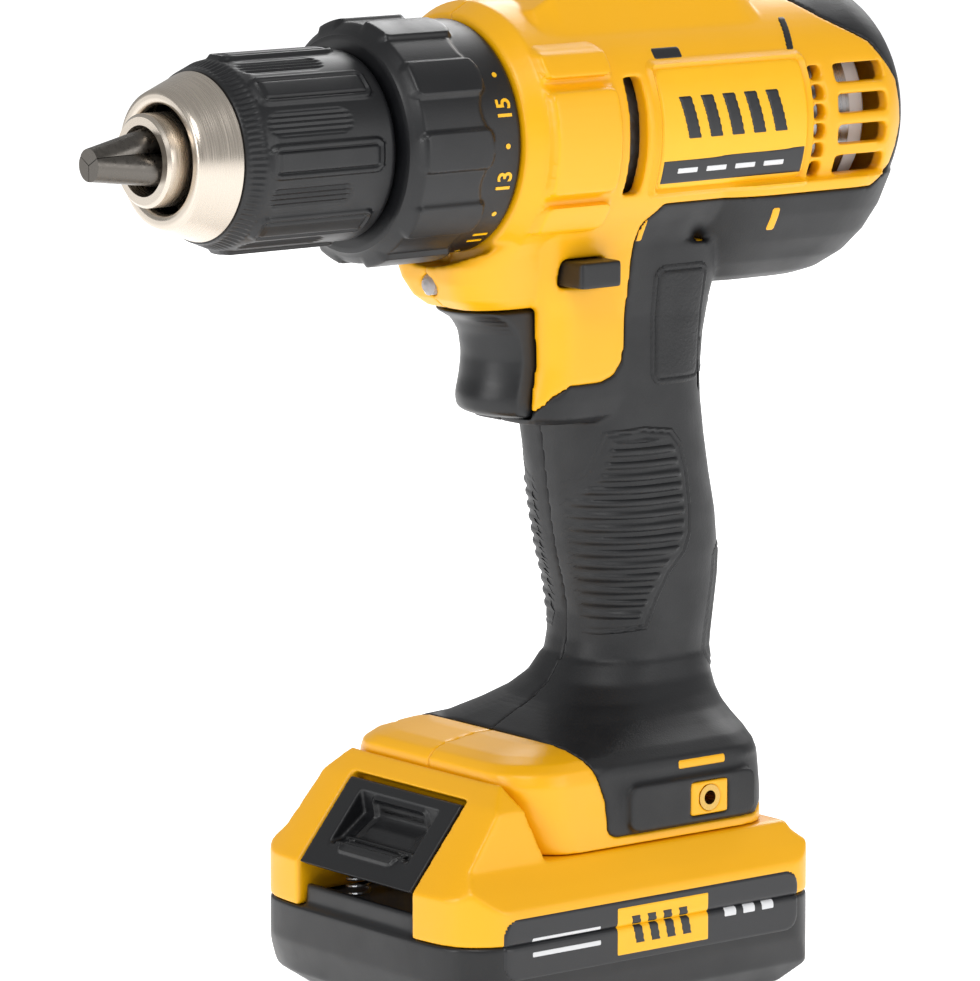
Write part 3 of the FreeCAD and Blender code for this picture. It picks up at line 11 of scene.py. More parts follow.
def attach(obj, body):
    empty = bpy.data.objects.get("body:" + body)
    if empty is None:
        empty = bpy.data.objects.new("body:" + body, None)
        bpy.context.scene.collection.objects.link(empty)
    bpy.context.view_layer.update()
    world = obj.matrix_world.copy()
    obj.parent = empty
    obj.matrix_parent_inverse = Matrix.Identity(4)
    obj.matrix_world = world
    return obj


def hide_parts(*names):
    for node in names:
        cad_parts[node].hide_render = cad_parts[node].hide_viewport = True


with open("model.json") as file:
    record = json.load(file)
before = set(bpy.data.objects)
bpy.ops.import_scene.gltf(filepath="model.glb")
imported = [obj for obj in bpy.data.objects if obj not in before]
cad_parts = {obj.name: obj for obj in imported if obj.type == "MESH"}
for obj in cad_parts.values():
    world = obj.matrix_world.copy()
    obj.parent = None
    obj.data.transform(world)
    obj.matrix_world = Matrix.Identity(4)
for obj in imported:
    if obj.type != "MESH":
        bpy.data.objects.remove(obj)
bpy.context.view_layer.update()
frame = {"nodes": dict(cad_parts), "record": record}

MM = 0.001

bl_info = {
    "name": "Cordless Drill",
    "version": (1, 0, 0),
    "blender": (4, 5, 0),
    "location": "View3D > Sidebar > Drill",
    "description": "Builds the shells, chuck, printing and finishes of a cordless drill on its frame",
    "category": "Add Mesh",
}

# Places and sizes in millimetres, from the middle of the pack's base.
AXIS_Z = 198.5
SLEEVE_RADIUS = 21.2
COLLAR_RADIUS = 26.2
NUMBER_RING_X = 27.3
LOOKED_AT = (11.6, 0, 116.66)

# The way that each side's wall faces, in degrees.
SIDES = {"left": 90.0, "right": -90.0}

# Each lamp's place and size in metres and its power in watts.
LAMPS = {
    "key": ((0.8, 0.75, 1.2), 0.6, 7.0),
    "left_fill": ((-0.5, 1.3, 0.5), 0.7, 4.0),
    "front_strip": ((1.4, 0.0, 0.5), 0.4, 4.5),
    "back_rim": ((-1.0, -0.7, 0.9), 0.8, 10.0),
}
LAMPS_AIM = (0, 0, 0.13)
WORLD_STRENGTH = 0.42
BENCH_SIZE = 30

# Most triangles of a small moulding and of a large one.
SMALL_MOST = 90000
LARGE_MOST = 130000


# ------------------------------------------------------------------ settings

class DrillSizes(bpy.types.PropertyGroup):
    shell_voxel: bpy.props.FloatProperty(
        name="Shell voxel", description="Grain of the remesh that rounds the housing's edges",
        default=0.6 * MM, unit="LENGTH")
    small_voxel: bpy.props.FloatProperty(
        name="Small voxel", description="Grain of the remesh that rounds the small mouldings",
        default=0.35 * MM, unit="LENGTH")
    pack_voxel: bpy.props.FloatProperty(
        name="Pack voxel", description="Grain of the remesh that rounds the battery cases",
        default=0.6 * MM, unit="LENGTH")
    grip_rib_pitch: bpy.props.FloatProperty(
        name="Grip rib pitch", description="Distance from one rib of the grip to the next",
        default=2.95 * MM, unit="LENGTH")
    sweep_glow: bpy.props.FloatProperty(
        name="Bench glow", description="How strongly the white bench glows", default=0.8, min=0.0)
    pack_label_height: bpy.props.FloatProperty(
        name="Pack label height", description="Height of the middle of the pack's label",
        default=20.9 * MM, unit="LENGTH", subtype="DISTANCE")
    grip_rib_rise: bpy.props.FloatProperty(
        name="Grip rib rise", description="Height of the grip's ribs over its side panel",
        default=0.75 * MM, unit="LENGTH")
    clutch_step: bpy.props.FloatProperty(
        name="Clutch step", description="Turn of the collar from one mark to the next",
        default=math.radians(18.0), subtype="ANGLE")
    first_number: bpy.props.FloatProperty(
        name="Place of 13", description="Angle of the number 13 round the collar at rest",
        default=math.radians(-18.0), subtype="ANGLE")
    lens: bpy.props.FloatProperty(
        name="Lens", description="Focal length of the camera", default=236.4, unit="CAMERA")
    view_distance: bpy.props.FloatProperty(
        name="View distance", description="Distance from the camera to what it looks at",
        default=1463 * MM, unit="LENGTH")
    view_turn: bpy.props.FloatProperty(
        name="View turn", description="Angle of the camera round the drill",
        default=math.radians(141.6), subtype="ANGLE")
    view_rise: bpy.props.FloatProperty(
        name="View rise", description="Angle of the camera over the bench",
        default=math.radians(9.33), subtype="ANGLE")


def colour_property(name, description, code):
    return bpy.props.StringProperty(name=name, description=description, default=code)


class DrillColours(bpy.types.PropertyGroup):
    yellow: colour_property("Yellow", "Hard housing and upper battery case", "#F3B000")
    overmould: colour_property("Overmould", "Soft black grip", "#0E0F12")
    black: colour_property("Black", "Hard black mouldings", "#0D0E11")
    nickel: colour_property("Nickel", "Satin plating of the nose", "#D3C9BC")
    jaw_steel: colour_property("Jaw steel", "Hardened jaws", "#6B6762")
    print_yellow: colour_property("Print yellow", "Printed marks on black", "#F6B90F")
    print_white: colour_property("Print white", "Printed marks on black", "#D9DADC")


def sizes():
    return bpy.context.scene.drill_sizes


def colours():
    return bpy.context.scene.drill_colours


# ------------------------------------------------------------------ materials

def linear(code):
    """An sRGB hex colour as linear light."""
    parts = [int(code[place:place + 2], 16) / 255 for place in (1, 3, 5)]
    light = [part / 12.92 if part <= 0.04045 else ((part + 0.055) / 1.055) ** 2.4 for part in parts]
    return (*light, 1.0)


def add(tree, kind, settings=None, inputs=None, links=None):
    """Adds a shader node, sets it up and links its inputs."""
    made = tree.nodes.new(kind)
    for name, value in (settings or {}).items():
        setattr(made, name, value)
    for name, value in (inputs or {}).items():
        made.inputs[name].default_value = value
    for name, source in (links or {}).items():
        tree.links.new(source, made.inputs[name])
    return made


def start_material(name, inputs):
    """Makes a material and gives its tree and its main shader."""
    material = bpy.data.materials.new(name)
    material.use_nodes = True
    tree = material.node_tree
    shader = tree.nodes["Principled BSDF"]
    for socket, value in inputs.items():
        shader.inputs[socket].default_value = value
    return tree, shader


def place_of(tree, stretch=(1, 1, 1)):
    """Object coordinates, in metres, stretched along an axis where a finish runs one way."""
    where = add(tree, "ShaderNodeTexCoord")
    return add(tree, "ShaderNodeMapping", inputs={"Scale": stretch},
               links={"Vector": where.outputs["Object"]})


def speckle(tree, where, grain_mm, detail):
    """Noise whose spots are about the given size in millimetres."""
    return add(tree, "ShaderNodeTexNoise",
               inputs={"Scale": 1000.0 / grain_mm, "Detail": detail, "Roughness": 0.5},
               links={"Vector": where.outputs["Vector"]})


def vary(tree, shader, socket, source, low, high):
    """Drives a socket between two numbers."""
    ends = {"From Min": 0.3, "From Max": 0.7, "To Min": low, "To Max": high}
    spread = add(tree, "ShaderNodeMapRange", inputs=ends, links={"Value": source})
    tree.links.new(spread.outputs["Result"], shader.inputs[socket])


def tint(tree, shader, source, first, second):
    """Drives the base colour between two colours."""
    blend = add(tree, "ShaderNodeMix", {"data_type": "RGBA"})
    blend.inputs["A"].default_value = first
    blend.inputs["B"].default_value = second
    tree.links.new(source, blend.inputs["Factor"])
    tree.links.new(blend.outputs["Result"], shader.inputs["Base Color"])


def bump(tree, shader, source, depth_mm, strength=1.0):
    """Raises the surface by a texture, to a depth in millimetres."""
    raised = add(tree, "ShaderNodeBump", inputs={"Strength": strength, "Distance": depth_mm * MM},
                 links={"Height": source})
    tree.links.new(raised.outputs["Normal"], shader.inputs["Normal"])


def darker(code, share):
    light = linear(code)
    return (light[0] * share, light[1] * share, light[2] * share, 1.0)


def moulded(name, code, roughness, grain_mm, depth_mm):
    """An injection moulding: spark-eroded grain, faint cloudiness, handling gloss that varies."""
    tree, shader = start_material(name, {"Roughness": roughness, "IOR": 1.5})
    where = place_of(tree)
    cloud = speckle(tree, where, 22.0, 4.0)
    tint(tree, shader, cloud.outputs["Fac"], darker(code, 0.93), linear(code))
    gloss = speckle(tree, where, 9.0, 3.0)
    vary(tree, shader, "Roughness", gloss.outputs["Fac"], roughness - 0.05, roughness + 0.06)
    grain = speckle(tree, where, grain_mm, 2.0)
    bump(tree, shader, grain.outputs["Fac"], depth_mm, 0.6)


def turned_metal(name, code, roughness, line_mm, depth_mm):
    """A lathe-turned metal: fine rings round the X axis that stretch its highlights."""
    tree, shader = start_material(name, {"Roughness": roughness, "Metallic": 1.0})
    where = place_of(tree, (1.0, 0.02, 0.02))
    rings = speckle(tree, where, line_mm, 2.0)
    tint(tree, shader, rings.outputs["Fac"], darker(code, 0.9), linear(code))
    vary(tree, shader, "Roughness", rings.outputs["Fac"], roughness - 0.06, roughness + 0.08)
    bump(tree, shader, rings.outputs["Fac"], depth_mm, 0.5)


def cast_metal(name, code, roughness, grain_mm):
    """A cast or ground metal, with an even matt grain."""
    tree, shader = start_material(name, {"Roughness": roughness, "Metallic": 1.0})
    where = place_of(tree)
    grain = speckle(tree, where, grain_mm, 4.0)
    tint(tree, shader, grain.outputs["Fac"], darker(code, 0.82), linear(code))
    vary(tree, shader, "Roughness", grain.outputs["Fac"], roughness - 0.08, roughness + 0.1)
    bump(tree, shader, grain.outputs["Fac"], 0.02, 0.5)


def printed(name, code, roughness=0.3):
    """Ink or foil on a smooth plate: even colour with a slight orange peel in its gloss."""
    tree, shader = start_material(name, {"Roughness": roughness, "IOR": 1.5})
    where = place_of(tree)
    cloud = speckle(tree, where, 6.0, 2.0)
    tint(tree, shader, cloud.outputs["Fac"], darker(code, 0.94), linear(code))
    peel = speckle(tree, where, 0.8, 1.0)
    vary(tree, shader, "Roughness", peel.outputs["Fac"], roughness - 0.04, roughness + 0.05)
    bump(tree, shader, peel.outputs["Fac"], 0.01, 0.4)


def make_materials():
    """Every finish on the drill, by name."""
    c = colours()
    # Glass-filled nylon, injection moulded: a satin skin with a fine eroded grain.
    moulded("moulded_yellow_nylon", c.yellow, 0.36, 0.35, 0.025)
    # Thermoplastic rubber moulded over the nylon: duller, softer highlights and a coarser grain.
    moulded("overmoulded_rubber", c.overmould, 0.5, 0.45, 0.06)
    # The same rubber with a deep leather-like texture, for the grip's pads.
    moulded("textured_rubber", c.overmould, 0.56, 0.8, 0.3)
    # Black nylon mouldings: harder and a little glossier than the rubber.
    moulded("moulded_black_nylon", c.black, 0.4, 0.4, 0.03)
    # Steel turned on a lathe and plated with satin nickel: warm, with fine rings.
    turned_metal("satin_nickel", c.nickel, 0.26, 0.25, 0.006)
    # Ground and hardened jaw steel: dark, with broad soft highlights.
    cast_metal("hardened_jaw_steel", c.jaw_steel, 0.3, 1.2)
    # Turned and machined steel for shafts, carriers and bearings.
    turned_metal("machined_steel", "#A9ABAE", 0.3, 0.3, 0.006)
    # Spring wire, screws and pressed plates: drawn steel with a grey zinc bloom.
    cast_metal("zinc_steel", "#B2B4B6", 0.36, 0.9)
    # Laminated electrical steel: dark grey with a dull bake.
    cast_metal("laminated_steel", "#55565A", 0.45, 0.7)
    # Zinc die casting: grey with a frosted skin.
    cast_metal("die_cast_zinc", "#94979B", 0.48, 1.0)
    # Turned brass: warm with fine rings.
    turned_metal("turned_brass", "#C9A45C", 0.28, 0.25, 0.006)
    # Copper commutator bars: bright and rubbed.
    turned_metal("rubbed_copper", "#C77C56", 0.3, 0.3, 0.01)
    # Sintered ferrite and carbon: charcoal and grainy.
    moulded("sintered_ferrite", "#3A3A3C", 0.75, 0.5, 0.05)
    # White motor cap: plain moulded polyamide.
    moulded("moulded_white_nylon", "#DCDFE4", 0.42, 0.4, 0.02)
    # Grey mouldings inside the tool.
    moulded("moulded_grey_nylon", "#4A4D52", 0.45, 0.4, 0.03)
    # Shrink sleeve on the cells: glossy film.
    printed("shrink_sleeve", "#2F6E9E", 0.22)
    # Solder-masked circuit board.
    printed("solder_mask", "#14532D", 0.3)
    # Inks of the side plates and the collar.
    printed("black_ink", "#1D1E21", 0.32)
    printed("yellow_ink", c.print_yellow, 0.32)
    printed("white_ink", c.print_white, 0.34)
    clear_lens()


def clear_lens():
    """Clear acrylic over a lamp: clear to a milky centre, with a fine peel in its gloss."""
    tree, shader = start_material(
        "clear_lens", {"Roughness": 0.08, "IOR": 1.49, "Base Color": linear("#E9EDF2")})
    shader.inputs["Transmission Weight"].default_value = 0.6
    peel = speckle(tree, place_of(tree), 0.7, 1.0)
    bump(tree, shader, peel.outputs["Fac"], 0.02, 0.4)


def finish(name):
    return bpy.data.materials[name]


def coat(piece, name):
    """Gives a piece one material all over."""
    piece.data.materials.clear()
    piece.data.materials.append(finish(name))


# ------------------------------------------------------------------ tools

def clear_selection():
    if bpy.context.object and bpy.context.object.mode != "OBJECT":
        bpy.ops.object.mode_set(mode="OBJECT")
    bpy.ops.object.select_all(action="DESELECT")


def pick(piece):
    clear_selection()
    piece.select_set(True)
    bpy.context.view_layer.objects.active = piece


def points_of(piece):
    points = np.empty(len(piece.data.vertices) * 3, np.float32)
    piece.data.vertices.foreach_get("co", points)
    return points.reshape(-1, 3)


def set_points(piece, points):
    piece.data.vertices.foreach_set("co", np.ascontiguousarray(points, np.float32).ravel())
    piece.data.update()


def smooth_by_angle(piece, degrees):
    pick(piece)
    bpy.ops.object.shade_smooth_by_angle(angle=math.radians(degrees))


def apply_modifier(piece, kind, **settings):
    pick(piece)
    added = piece.modifiers.new(kind.title(), kind)
    for name, value in settings.items():
        setattr(added, name, value)
    bpy.ops.object.modifier_apply(modifier=added.name)


def copy_of(node, name):
    """A merged copy of a CAD node's mesh, at the origin."""
    source = frame["nodes"][node]
    piece = bpy.data.objects.new(name, source.data.copy())
    bpy.context.scene.collection.objects.link(piece)
    pick(piece)
    piece.data.materials.clear()
    bpy.ops.object.mode_set(mode="EDIT")
    bpy.ops.mesh.select_all(action="SELECT")
    bpy.ops.mesh.remove_doubles(threshold=0.004 * MM)
    if piece.data.has_custom_normals:
        bpy.ops.mesh.customdata_custom_splitnormals_clear()
    bpy.ops.mesh.normals_make_consistent(inside=False)
    bpy.ops.object.mode_set(mode="OBJECT")
    return piece


def thin(piece, most):
    """Takes a mesh under a number of triangles."""
    triangles = sum(len(face.vertices) - 2 for face in piece.data.polygons)
    if triangles > most:
        apply_modifier(piece, "DECIMATE", ratio=most / triangles)


def softened(node, name, voxel, rounds, most=LARGE_MOST):
    """A copy of a CAD node whose edges are rounded as a moulding's are."""
    piece = copy_of(node, name)
    apply_modifier(piece, "REMESH", mode="VOXEL", voxel_size=voxel, adaptivity=0.0)
    apply_modifier(piece, "SMOOTH", factor=0.5, iterations=rounds)
    thin(piece, most)
    pick(piece)
    bpy.ops.object.shade_smooth()
    return piece


def curve_front(piece, depth, reach, power):
    """Draws a piece's front corners back in plan, as a moulding's swept front is."""
    points = points_of(piece) / MM
    level = np.rint(points[:, 2] - points[:, 2].min()).astype(int)
    front = np.full(level.max() + 1, points[:, 0].min())
    np.maximum.at(front, level, points[:, 0])
    behind = np.clip((front[level] - points[:, 0]) / reach, 0, 1)
    across = np.abs(points[:, 1]) / np.abs(points[:, 1]).max()
    points[:, 0] -= depth * across ** power * (1 - behind)
    set_points(piece, points * MM)


def settle(piece, body, slot, *nodes):
    """Rides a finished piece on its body and hides the nodes that it stands for; the slot argument is not
    used.
    """
    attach(piece, body)
    if nodes:
        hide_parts(*nodes)


def crisp(node, body, slot, material, degrees=30):
    """A node's own shape with smooth round faces and crisp corners."""
    piece = copy_of(node, f"{node}_finished")
    smooth_by_angle(piece, degrees)
    coat(piece, material)
    settle(piece, body, slot, node)
    return piece


def smoothstep(low, high, value):
    share = np.clip((value - low) / (high - low), 0.0, 1.0)
    return share * share * (3 - 2 * share)


def box_distance(across, along, half_across, half_along, corner):
    """Signed distance to a rounded box, negative inside."""
    over_a = np.abs(across) - (half_across - corner)
    over_b = np.abs(along) - (half_along - corner)
    outside = np.hypot(np.maximum(over_a, 0), np.maximum(over_b, 0))
    return outside + np.minimum(np.maximum(over_a, over_b), 0) - corner


def outline_distance(outline, x, z):
    """Signed distance to a closed outline, negative inside."""
    nearest = np.full(x.shape, 1e9)
    inside = np.zeros(x.shape, bool)
    for (ax, az), (bx, bz) in zip(outline, outline[1:] + outline[:1]):
        ex, ez = bx - ax, bz - az
        share = np.clip(((x - ax) * ex + (z - az) * ez) / (ex * ex + ez * ez), 0, 1)
        nearest = np.minimum(nearest, np.hypot(x - ax - share * ex, z - az - share * ez))
        if az != bz:
            crosses = (az > z) != (bz > z)
            inside ^= crosses & (x < ax + (z - az) * ex / ez)
    return np.where(inside, -nearest, nearest)


def drum(name, profile, step_mm, segments, relief=None):
    """A closed ring turned round the output axis, with relief(x, turn, radius) added to its radius."""
    path = []
    for (ax, ar), (bx, br) in zip(profile, profile[1:] + profile[:1]):
        parts = max(1, int(math.hypot(bx - ax, br - ar) / step_mm))
        for part in range(parts):
            path.append((ax + (bx - ax) * part / parts, ar + (br - ar) * part / parts))
    path.append(path[0])
    rings = len(path)
    clear_selection()
    bpy.ops.mesh.primitive_grid_add(x_subdivisions=segments, y_subdivisions=rings - 1, size=2)
    piece = bpy.context.object
    piece.name = name
    grid = points_of(piece)
    column = np.rint((grid[:, 0] + 1) / 2 * segments).astype(int)
    row = np.rint((grid[:, 1] + 1) / 2 * (rings - 1)).astype(int)
    path = np.array(path)
    x, radius = path[row, 0], path[row, 1]
    turn = column % segments * (2 * np.pi / segments)
    if relief:
        radius = radius + relief(x, turn, radius)
    set_points(piece, np.c_[x, radius * np.cos(turn), AXIS_Z + radius * np.sin(turn)] * MM)
    bpy.ops.object.mode_set(mode="EDIT")
    bpy.ops.mesh.select_all(action="SELECT")
    bpy.ops.mesh.remove_doubles(threshold=0.002 * MM)
    bpy.ops.mesh.normals_make_consistent(inside=False)
    bpy.ops.object.mode_set(mode="OBJECT")
    smooth_by_angle(piece, 40)
    return piece


class Wall:
    """The outside of some pieces, seen straight along a level direction."""

    def __init__(self, pieces, facing=90.0):
        turn = math.radians(facing)
        self.out = Vector((math.cos(turn), math.sin(turn), 0))
        self.across = Vector((-math.sin(turn), math.cos(turn), 0))
        if facing in (90.0, -90.0):
            self.across = Vector((1, 0, 0))
        corners = []
        faces = []
        for piece in pieces:
            start = len(corners)
            corners.extend(vertex.co.copy() for vertex in piece.data.vertices)
            faces.extend([start + index for index in face.vertices] for face in piece.data.polygons)
        self.tree = BVHTree.FromPolygons(corners, faces)

    def depth(self, u, z):
        """How far out the wall is at a place, in millimetres."""
        start = (self.across * u + self.out * 120 + Vector((0, 0, z))) * MM
        hit = self.tree.ray_cast(start, -self.out)
        if hit[0] is None:
            return None
        return hit[0].dot(self.out) / MM


def patch(name, wall, outline, step_mm, height, margin=0.6, sink=0.5):
    """A thin raised moulding laid on a wall inside an outline, as high as height(distance, u, z) says."""
    low_u, high_u = min(u for u, z in outline) - margin, max(u for u, z in outline) + margin
    low_z, high_z = min(z for u, z in outline) - margin, max(z for u, z in outline) + margin
    columns = int((high_u - low_u) / step_mm) + 1
    rows = int((high_z - low_z) / step_mm) + 1
    clear_selection()
    bpy.ops.mesh.primitive_grid_add(x_subdivisions=columns, y_subdivisions=rows, size=2)
    piece = bpy.context.object
    piece.name = name
    grid = points_of(piece)
    u = low_u + (grid[:, 0] + 1) / 2 * (high_u - low_u)
    z = low_z + (grid[:, 1] + 1) / 2 * (high_z - low_z)
    far = outline_distance(outline, u, z)
    rise = height(far, u, z)
    points = np.zeros((len(u), 3))
    lost = far > margin * 0.5
    for index in range(len(u)):
        if lost[index]:
            continue
        depth = wall.depth(u[index], z[index])
        if depth is None:
            lost[index] = True
            continue
        at = wall.across * u[index] + wall.out * (depth + rise[index]) + Vector((0, 0, z[index]))
        points[index] = np.array(at) * MM
    set_points(piece, points)
    shape = bmesh.new()
    shape.from_mesh(piece.data)
    shape.verts.ensure_lookup_table()
    bmesh.ops.delete(shape, geom=[shape.verts[index] for index in np.nonzero(lost)[0]], context="VERTS")
    shape.to_mesh(piece.data)
    shape.free()
    faces = piece.data.polygons
    if faces and sum(face.normal.dot(wall.out) for face in faces) < 0:
        piece.data.flip_normals()
    apply_modifier(piece, "SOLIDIFY", thickness=sink * MM, offset=-1.0)
    smooth_by_angle(piece, 50)
    return piece


def plate_height(thickness, edge):
    """A flat plate with a rounded edge, sunk into its wall outside the outline."""
    return lambda far, u, z: thickness * smoothstep(0.0, edge, -far) - 0.15 * smoothstep(0.0, 0.3, far)


def rounded_outline(middle_u, middle_z, half_u, half_z, corner, lean=0.0):
    """A rounded box as an outline; lean shifts it along u as it rises."""
    outline = []
    for quarter in range(4):
        centre_u = (half_u - corner) * (1 if quarter in (0, 3) else -1)
        centre_z = (half_z - corner) * (1 if quarter in (0, 1) else -1)
        for step in range(5):
            turn = math.radians(90 * quarter + 22.5 * step)
            u = centre_u + corner * math.cos(turn)
            z = centre_z + corner * math.sin(turn)
            outline.append((middle_u + u + lean * z, middle_z + z))
    return outline


def joined(pieces, name):
    clear_selection()
    for piece in pieces:
        piece.select_set(True)
    bpy.context.view_layer.objects.active = pieces[0]
    if len(pieces) > 1:
        bpy.ops.object.join()
    pieces[0].name = name
    return pieces[0]


# ------------------------------------------------------------------ operators

class DRILL_OT_stage(bpy.types.Operator):
    """Sets the bench, the lights and the camera"""
    bl_idname = "drill.stage"
    bl_label = "Stage"

    def execute(self, context):
        tree, shader = start_material("bench_paint", {"Roughness": 0.55})
        cloud = speckle(tree, place_of(tree), 400.0, 2.0)
        tint(tree, shader, cloud.outputs["Fac"], linear("#F4F4F4"), linear("#FBFBFB"))
        # The bench is flat and glows a little, which keeps it white to its far edge.
        shader.inputs["Emission Color"].default_value = linear("#FFFFFF")
        shader.inputs["Emission Strength"].default_value = sizes().sweep_glow
        clear_selection()
        bpy.ops.mesh.primitive_plane_add(size=BENCH_SIZE, location=(0, 0, 0))
        floor = context.object
        floor.name = "bench"
        coat(floor, "bench_paint")
        world = context.scene.world or bpy.data.worlds.new("studio")
        context.scene.world = world
        world.use_nodes = True
        background = world.node_tree.nodes["Background"]
        background.inputs["Color"].default_value = (1, 1, 1, 1)
        background.inputs["Strength"].default_value = WORLD_STRENGTH
        for name, (place, size, power) in LAMPS.items():
            self.lamp(context, name, place, size, power)
        context.scene.view_settings.view_transform = "Standard"
        self.camera(context)
        return {"FINISHED"}

    def lamp(self, context, name, place, size, power):
        """A square soft box aimed at the drill's middle."""
        middle = Vector(LAMPS_AIM)
        clear_selection()
        bpy.ops.object.light_add(type="AREA", location=place)
        light = context.object
        light.name = name
        light.data.size = size
        light.data.energy = power
        light.rotation_euler = (middle - Vector(place)).to_track_quat("-Z", "Y").to_euler()

    def camera(self, context):
        s = sizes()
        middle = Vector(LOOKED_AT) * MM
        back = Vector((math.sin(s.view_turn) * math.cos(s.view_rise),
                       -math.cos(s.view_turn) * math.cos(s.view_rise), math.sin(s.view_rise)))
        clear_selection()
        bpy.ops.object.camera_add(location=middle + back * s.view_distance)
        camera = context.object
        camera.rotation_euler = (-back).to_track_quat("-Z", "Y").to_euler()
        camera.data.lens = s.lens
        camera.data.sensor_width = 36
        camera.data.clip_end = 20
        context.scene.camera = camera


class DRILL_OT_inner_finishes(bpy.types.Operator):
    """Gives each CAD node that stays its material"""
    bl_idname = "drill.inner_finishes"
    bl_label = "Inner finishes"

    def execute(self, context):
        make_materials()
        by_slot = {
            "yellow_shell": "moulded_yellow_nylon", "black_grip": "overmoulded_rubber",
            "black_plastic": "moulded_black_nylon", "nameplate": "yellow_ink",
            "battery_label": "black_ink", "nickel": "satin_nickel",
            "dark_steel": "laminated_steel", "steel": "machined_steel", "brass": "turned_brass",
            "cast_metal": "die_cast_zinc", "white_plastic": "moulded_white_nylon",
            "grey_plastic": "moulded_grey_nylon", "magnet": "sintered_ferrite",
            "copper": "rubbed_copper", "lens": "clear_lens", "cell_wrap": "shrink_sleeve",
            "board": "solder_mask",
        }
        for entry in frame["record"]["subparts"]:
            node = frame["nodes"][entry["node"]]
            if not node.data.materials:
                node.data.materials.append(None)
            for slot in node.material_slots:
                slot.material = finish(by_slot[entry["material_slot"]])
        for node in ("housing_screws", "clutch_spring", "trigger_spring", "latch_springs", "clutch_plate"):
            for slot in frame["nodes"][node].material_slots:
                slot.material = finish("zinc_steel")
        return {"FINISHED"}


class DRILL_OT_housing(bpy.types.Operator):
    """Rounds the yellow housing halves and the black overmould"""
    bl_idname = "drill.housing"
    bl_label = "Housing and overmould"

    def execute(self, context):
        voxel = sizes().shell_voxel
        for side in SIDES:
            shell = softened(f"{side}_housing", f"{side}_shell", voxel, 3)
            coat(shell, "moulded_yellow_nylon")
            settle(shell, "tool", "yellow_shell", f"{side}_housing")
            skin = softened(f"{side}_grip", f"{side}_overmould", voxel, 3)
            coat(skin, "overmoulded_rubber")
            settle(skin, "tool", "black_grip", f"{side}_grip")
        return {"FINISHED"}


class DRILL_OT_grip_texture(bpy.types.Operator):
    """Lays the ribbed panels and the textured pads on the grip"""
    bl_idname = "drill.grip_texture"
    bl_label = "Grip ribs and pads"

    def execute(self, context):
        panel = [(-9.5, 130.0), (-19.3, 130.6), (-27.5, 129.5), (-30.5, 126.0), (-32.5, 119.5),
                 (-33.7, 111.0), (-33.7, 104.5), (-32.0, 100.0), (-27.5, 95.5), (-24.5, 90.0),
                 (-21.9, 83.0), (-12.0, 81.8), (-2.9, 83.2), (-0.5, 92.0), (2.1, 100.5),
                 (2.8, 107.0), (1.0, 111.5), (-3.0, 115.5), (-7.0, 120.5), (-8.3, 126.0)]
        web = rounded_outline(-29.5, 153.5, 8.4, 13.8, 3.0)
        for side, facing in SIDES.items():
            skin = bpy.data.objects[f"{side}_overmould"]
            wall = Wall([skin], facing)
            piece = patch(f"{side}_grip_panel", wall, panel, 0.34, self.ribbed)
            coat(piece, "overmoulded_rubber")
            settle(piece, "tool", "black_grip")
            pad = patch(f"{side}_web_pad", wall, web, 0.5, self.padded)
            coat(pad, "textured_rubber")
            settle(pad, "tool", "black_grip")
        behind = Wall([bpy.data.objects["left_overmould"], bpy.data.objects["right_overmould"]], 180.0)
        back_pads = {"upper_back_pad": (149.5, 9.6, 12.5), "lower_back_pad": (86.0, 14.5, 14.6)}
        for name, (middle_z, half_z, half_y) in back_pads.items():
            outline = rounded_outline(0.0, middle_z, half_y, half_z, 3.0)
            pad = patch(name, behind, outline, 0.5, self.padded)
            coat(pad, "textured_rubber")
            settle(pad, "tool", "black_grip")
        return {"FINISHED"}

    def padded(self, far, u, z):
        """A soft pad with a groove round its edge."""
        return 0.5 * smoothstep(0.0, 0.7, -far) - 0.45 * np.exp(-((-far - 1.3) / 0.4) ** 2)

    def ribbed(self, far, u, z):
        """A low panel inside a groove, with rounded level ribs that stop short of its edge."""
        s = sizes()
        pitch = s.grip_rib_pitch / MM
        panel = 0.45 * smoothstep(0.0, 0.5, -far) - 0.35 * np.exp(-((-far - 1.1) / 0.35) ** 2)
        place = (z - 86.5) / pitch
        near = (place - np.rint(place)) * pitch
        rib = np.sqrt(np.clip(1 - (near / 0.85) ** 2, 0, 1))
        rib *= smoothstep(2.4, 3.6, -far) * (z < 129) * (z > 84.5)
        return panel + s.grip_rib_rise / MM * rib - 0.2 * smoothstep(0.0, 0.3, far)


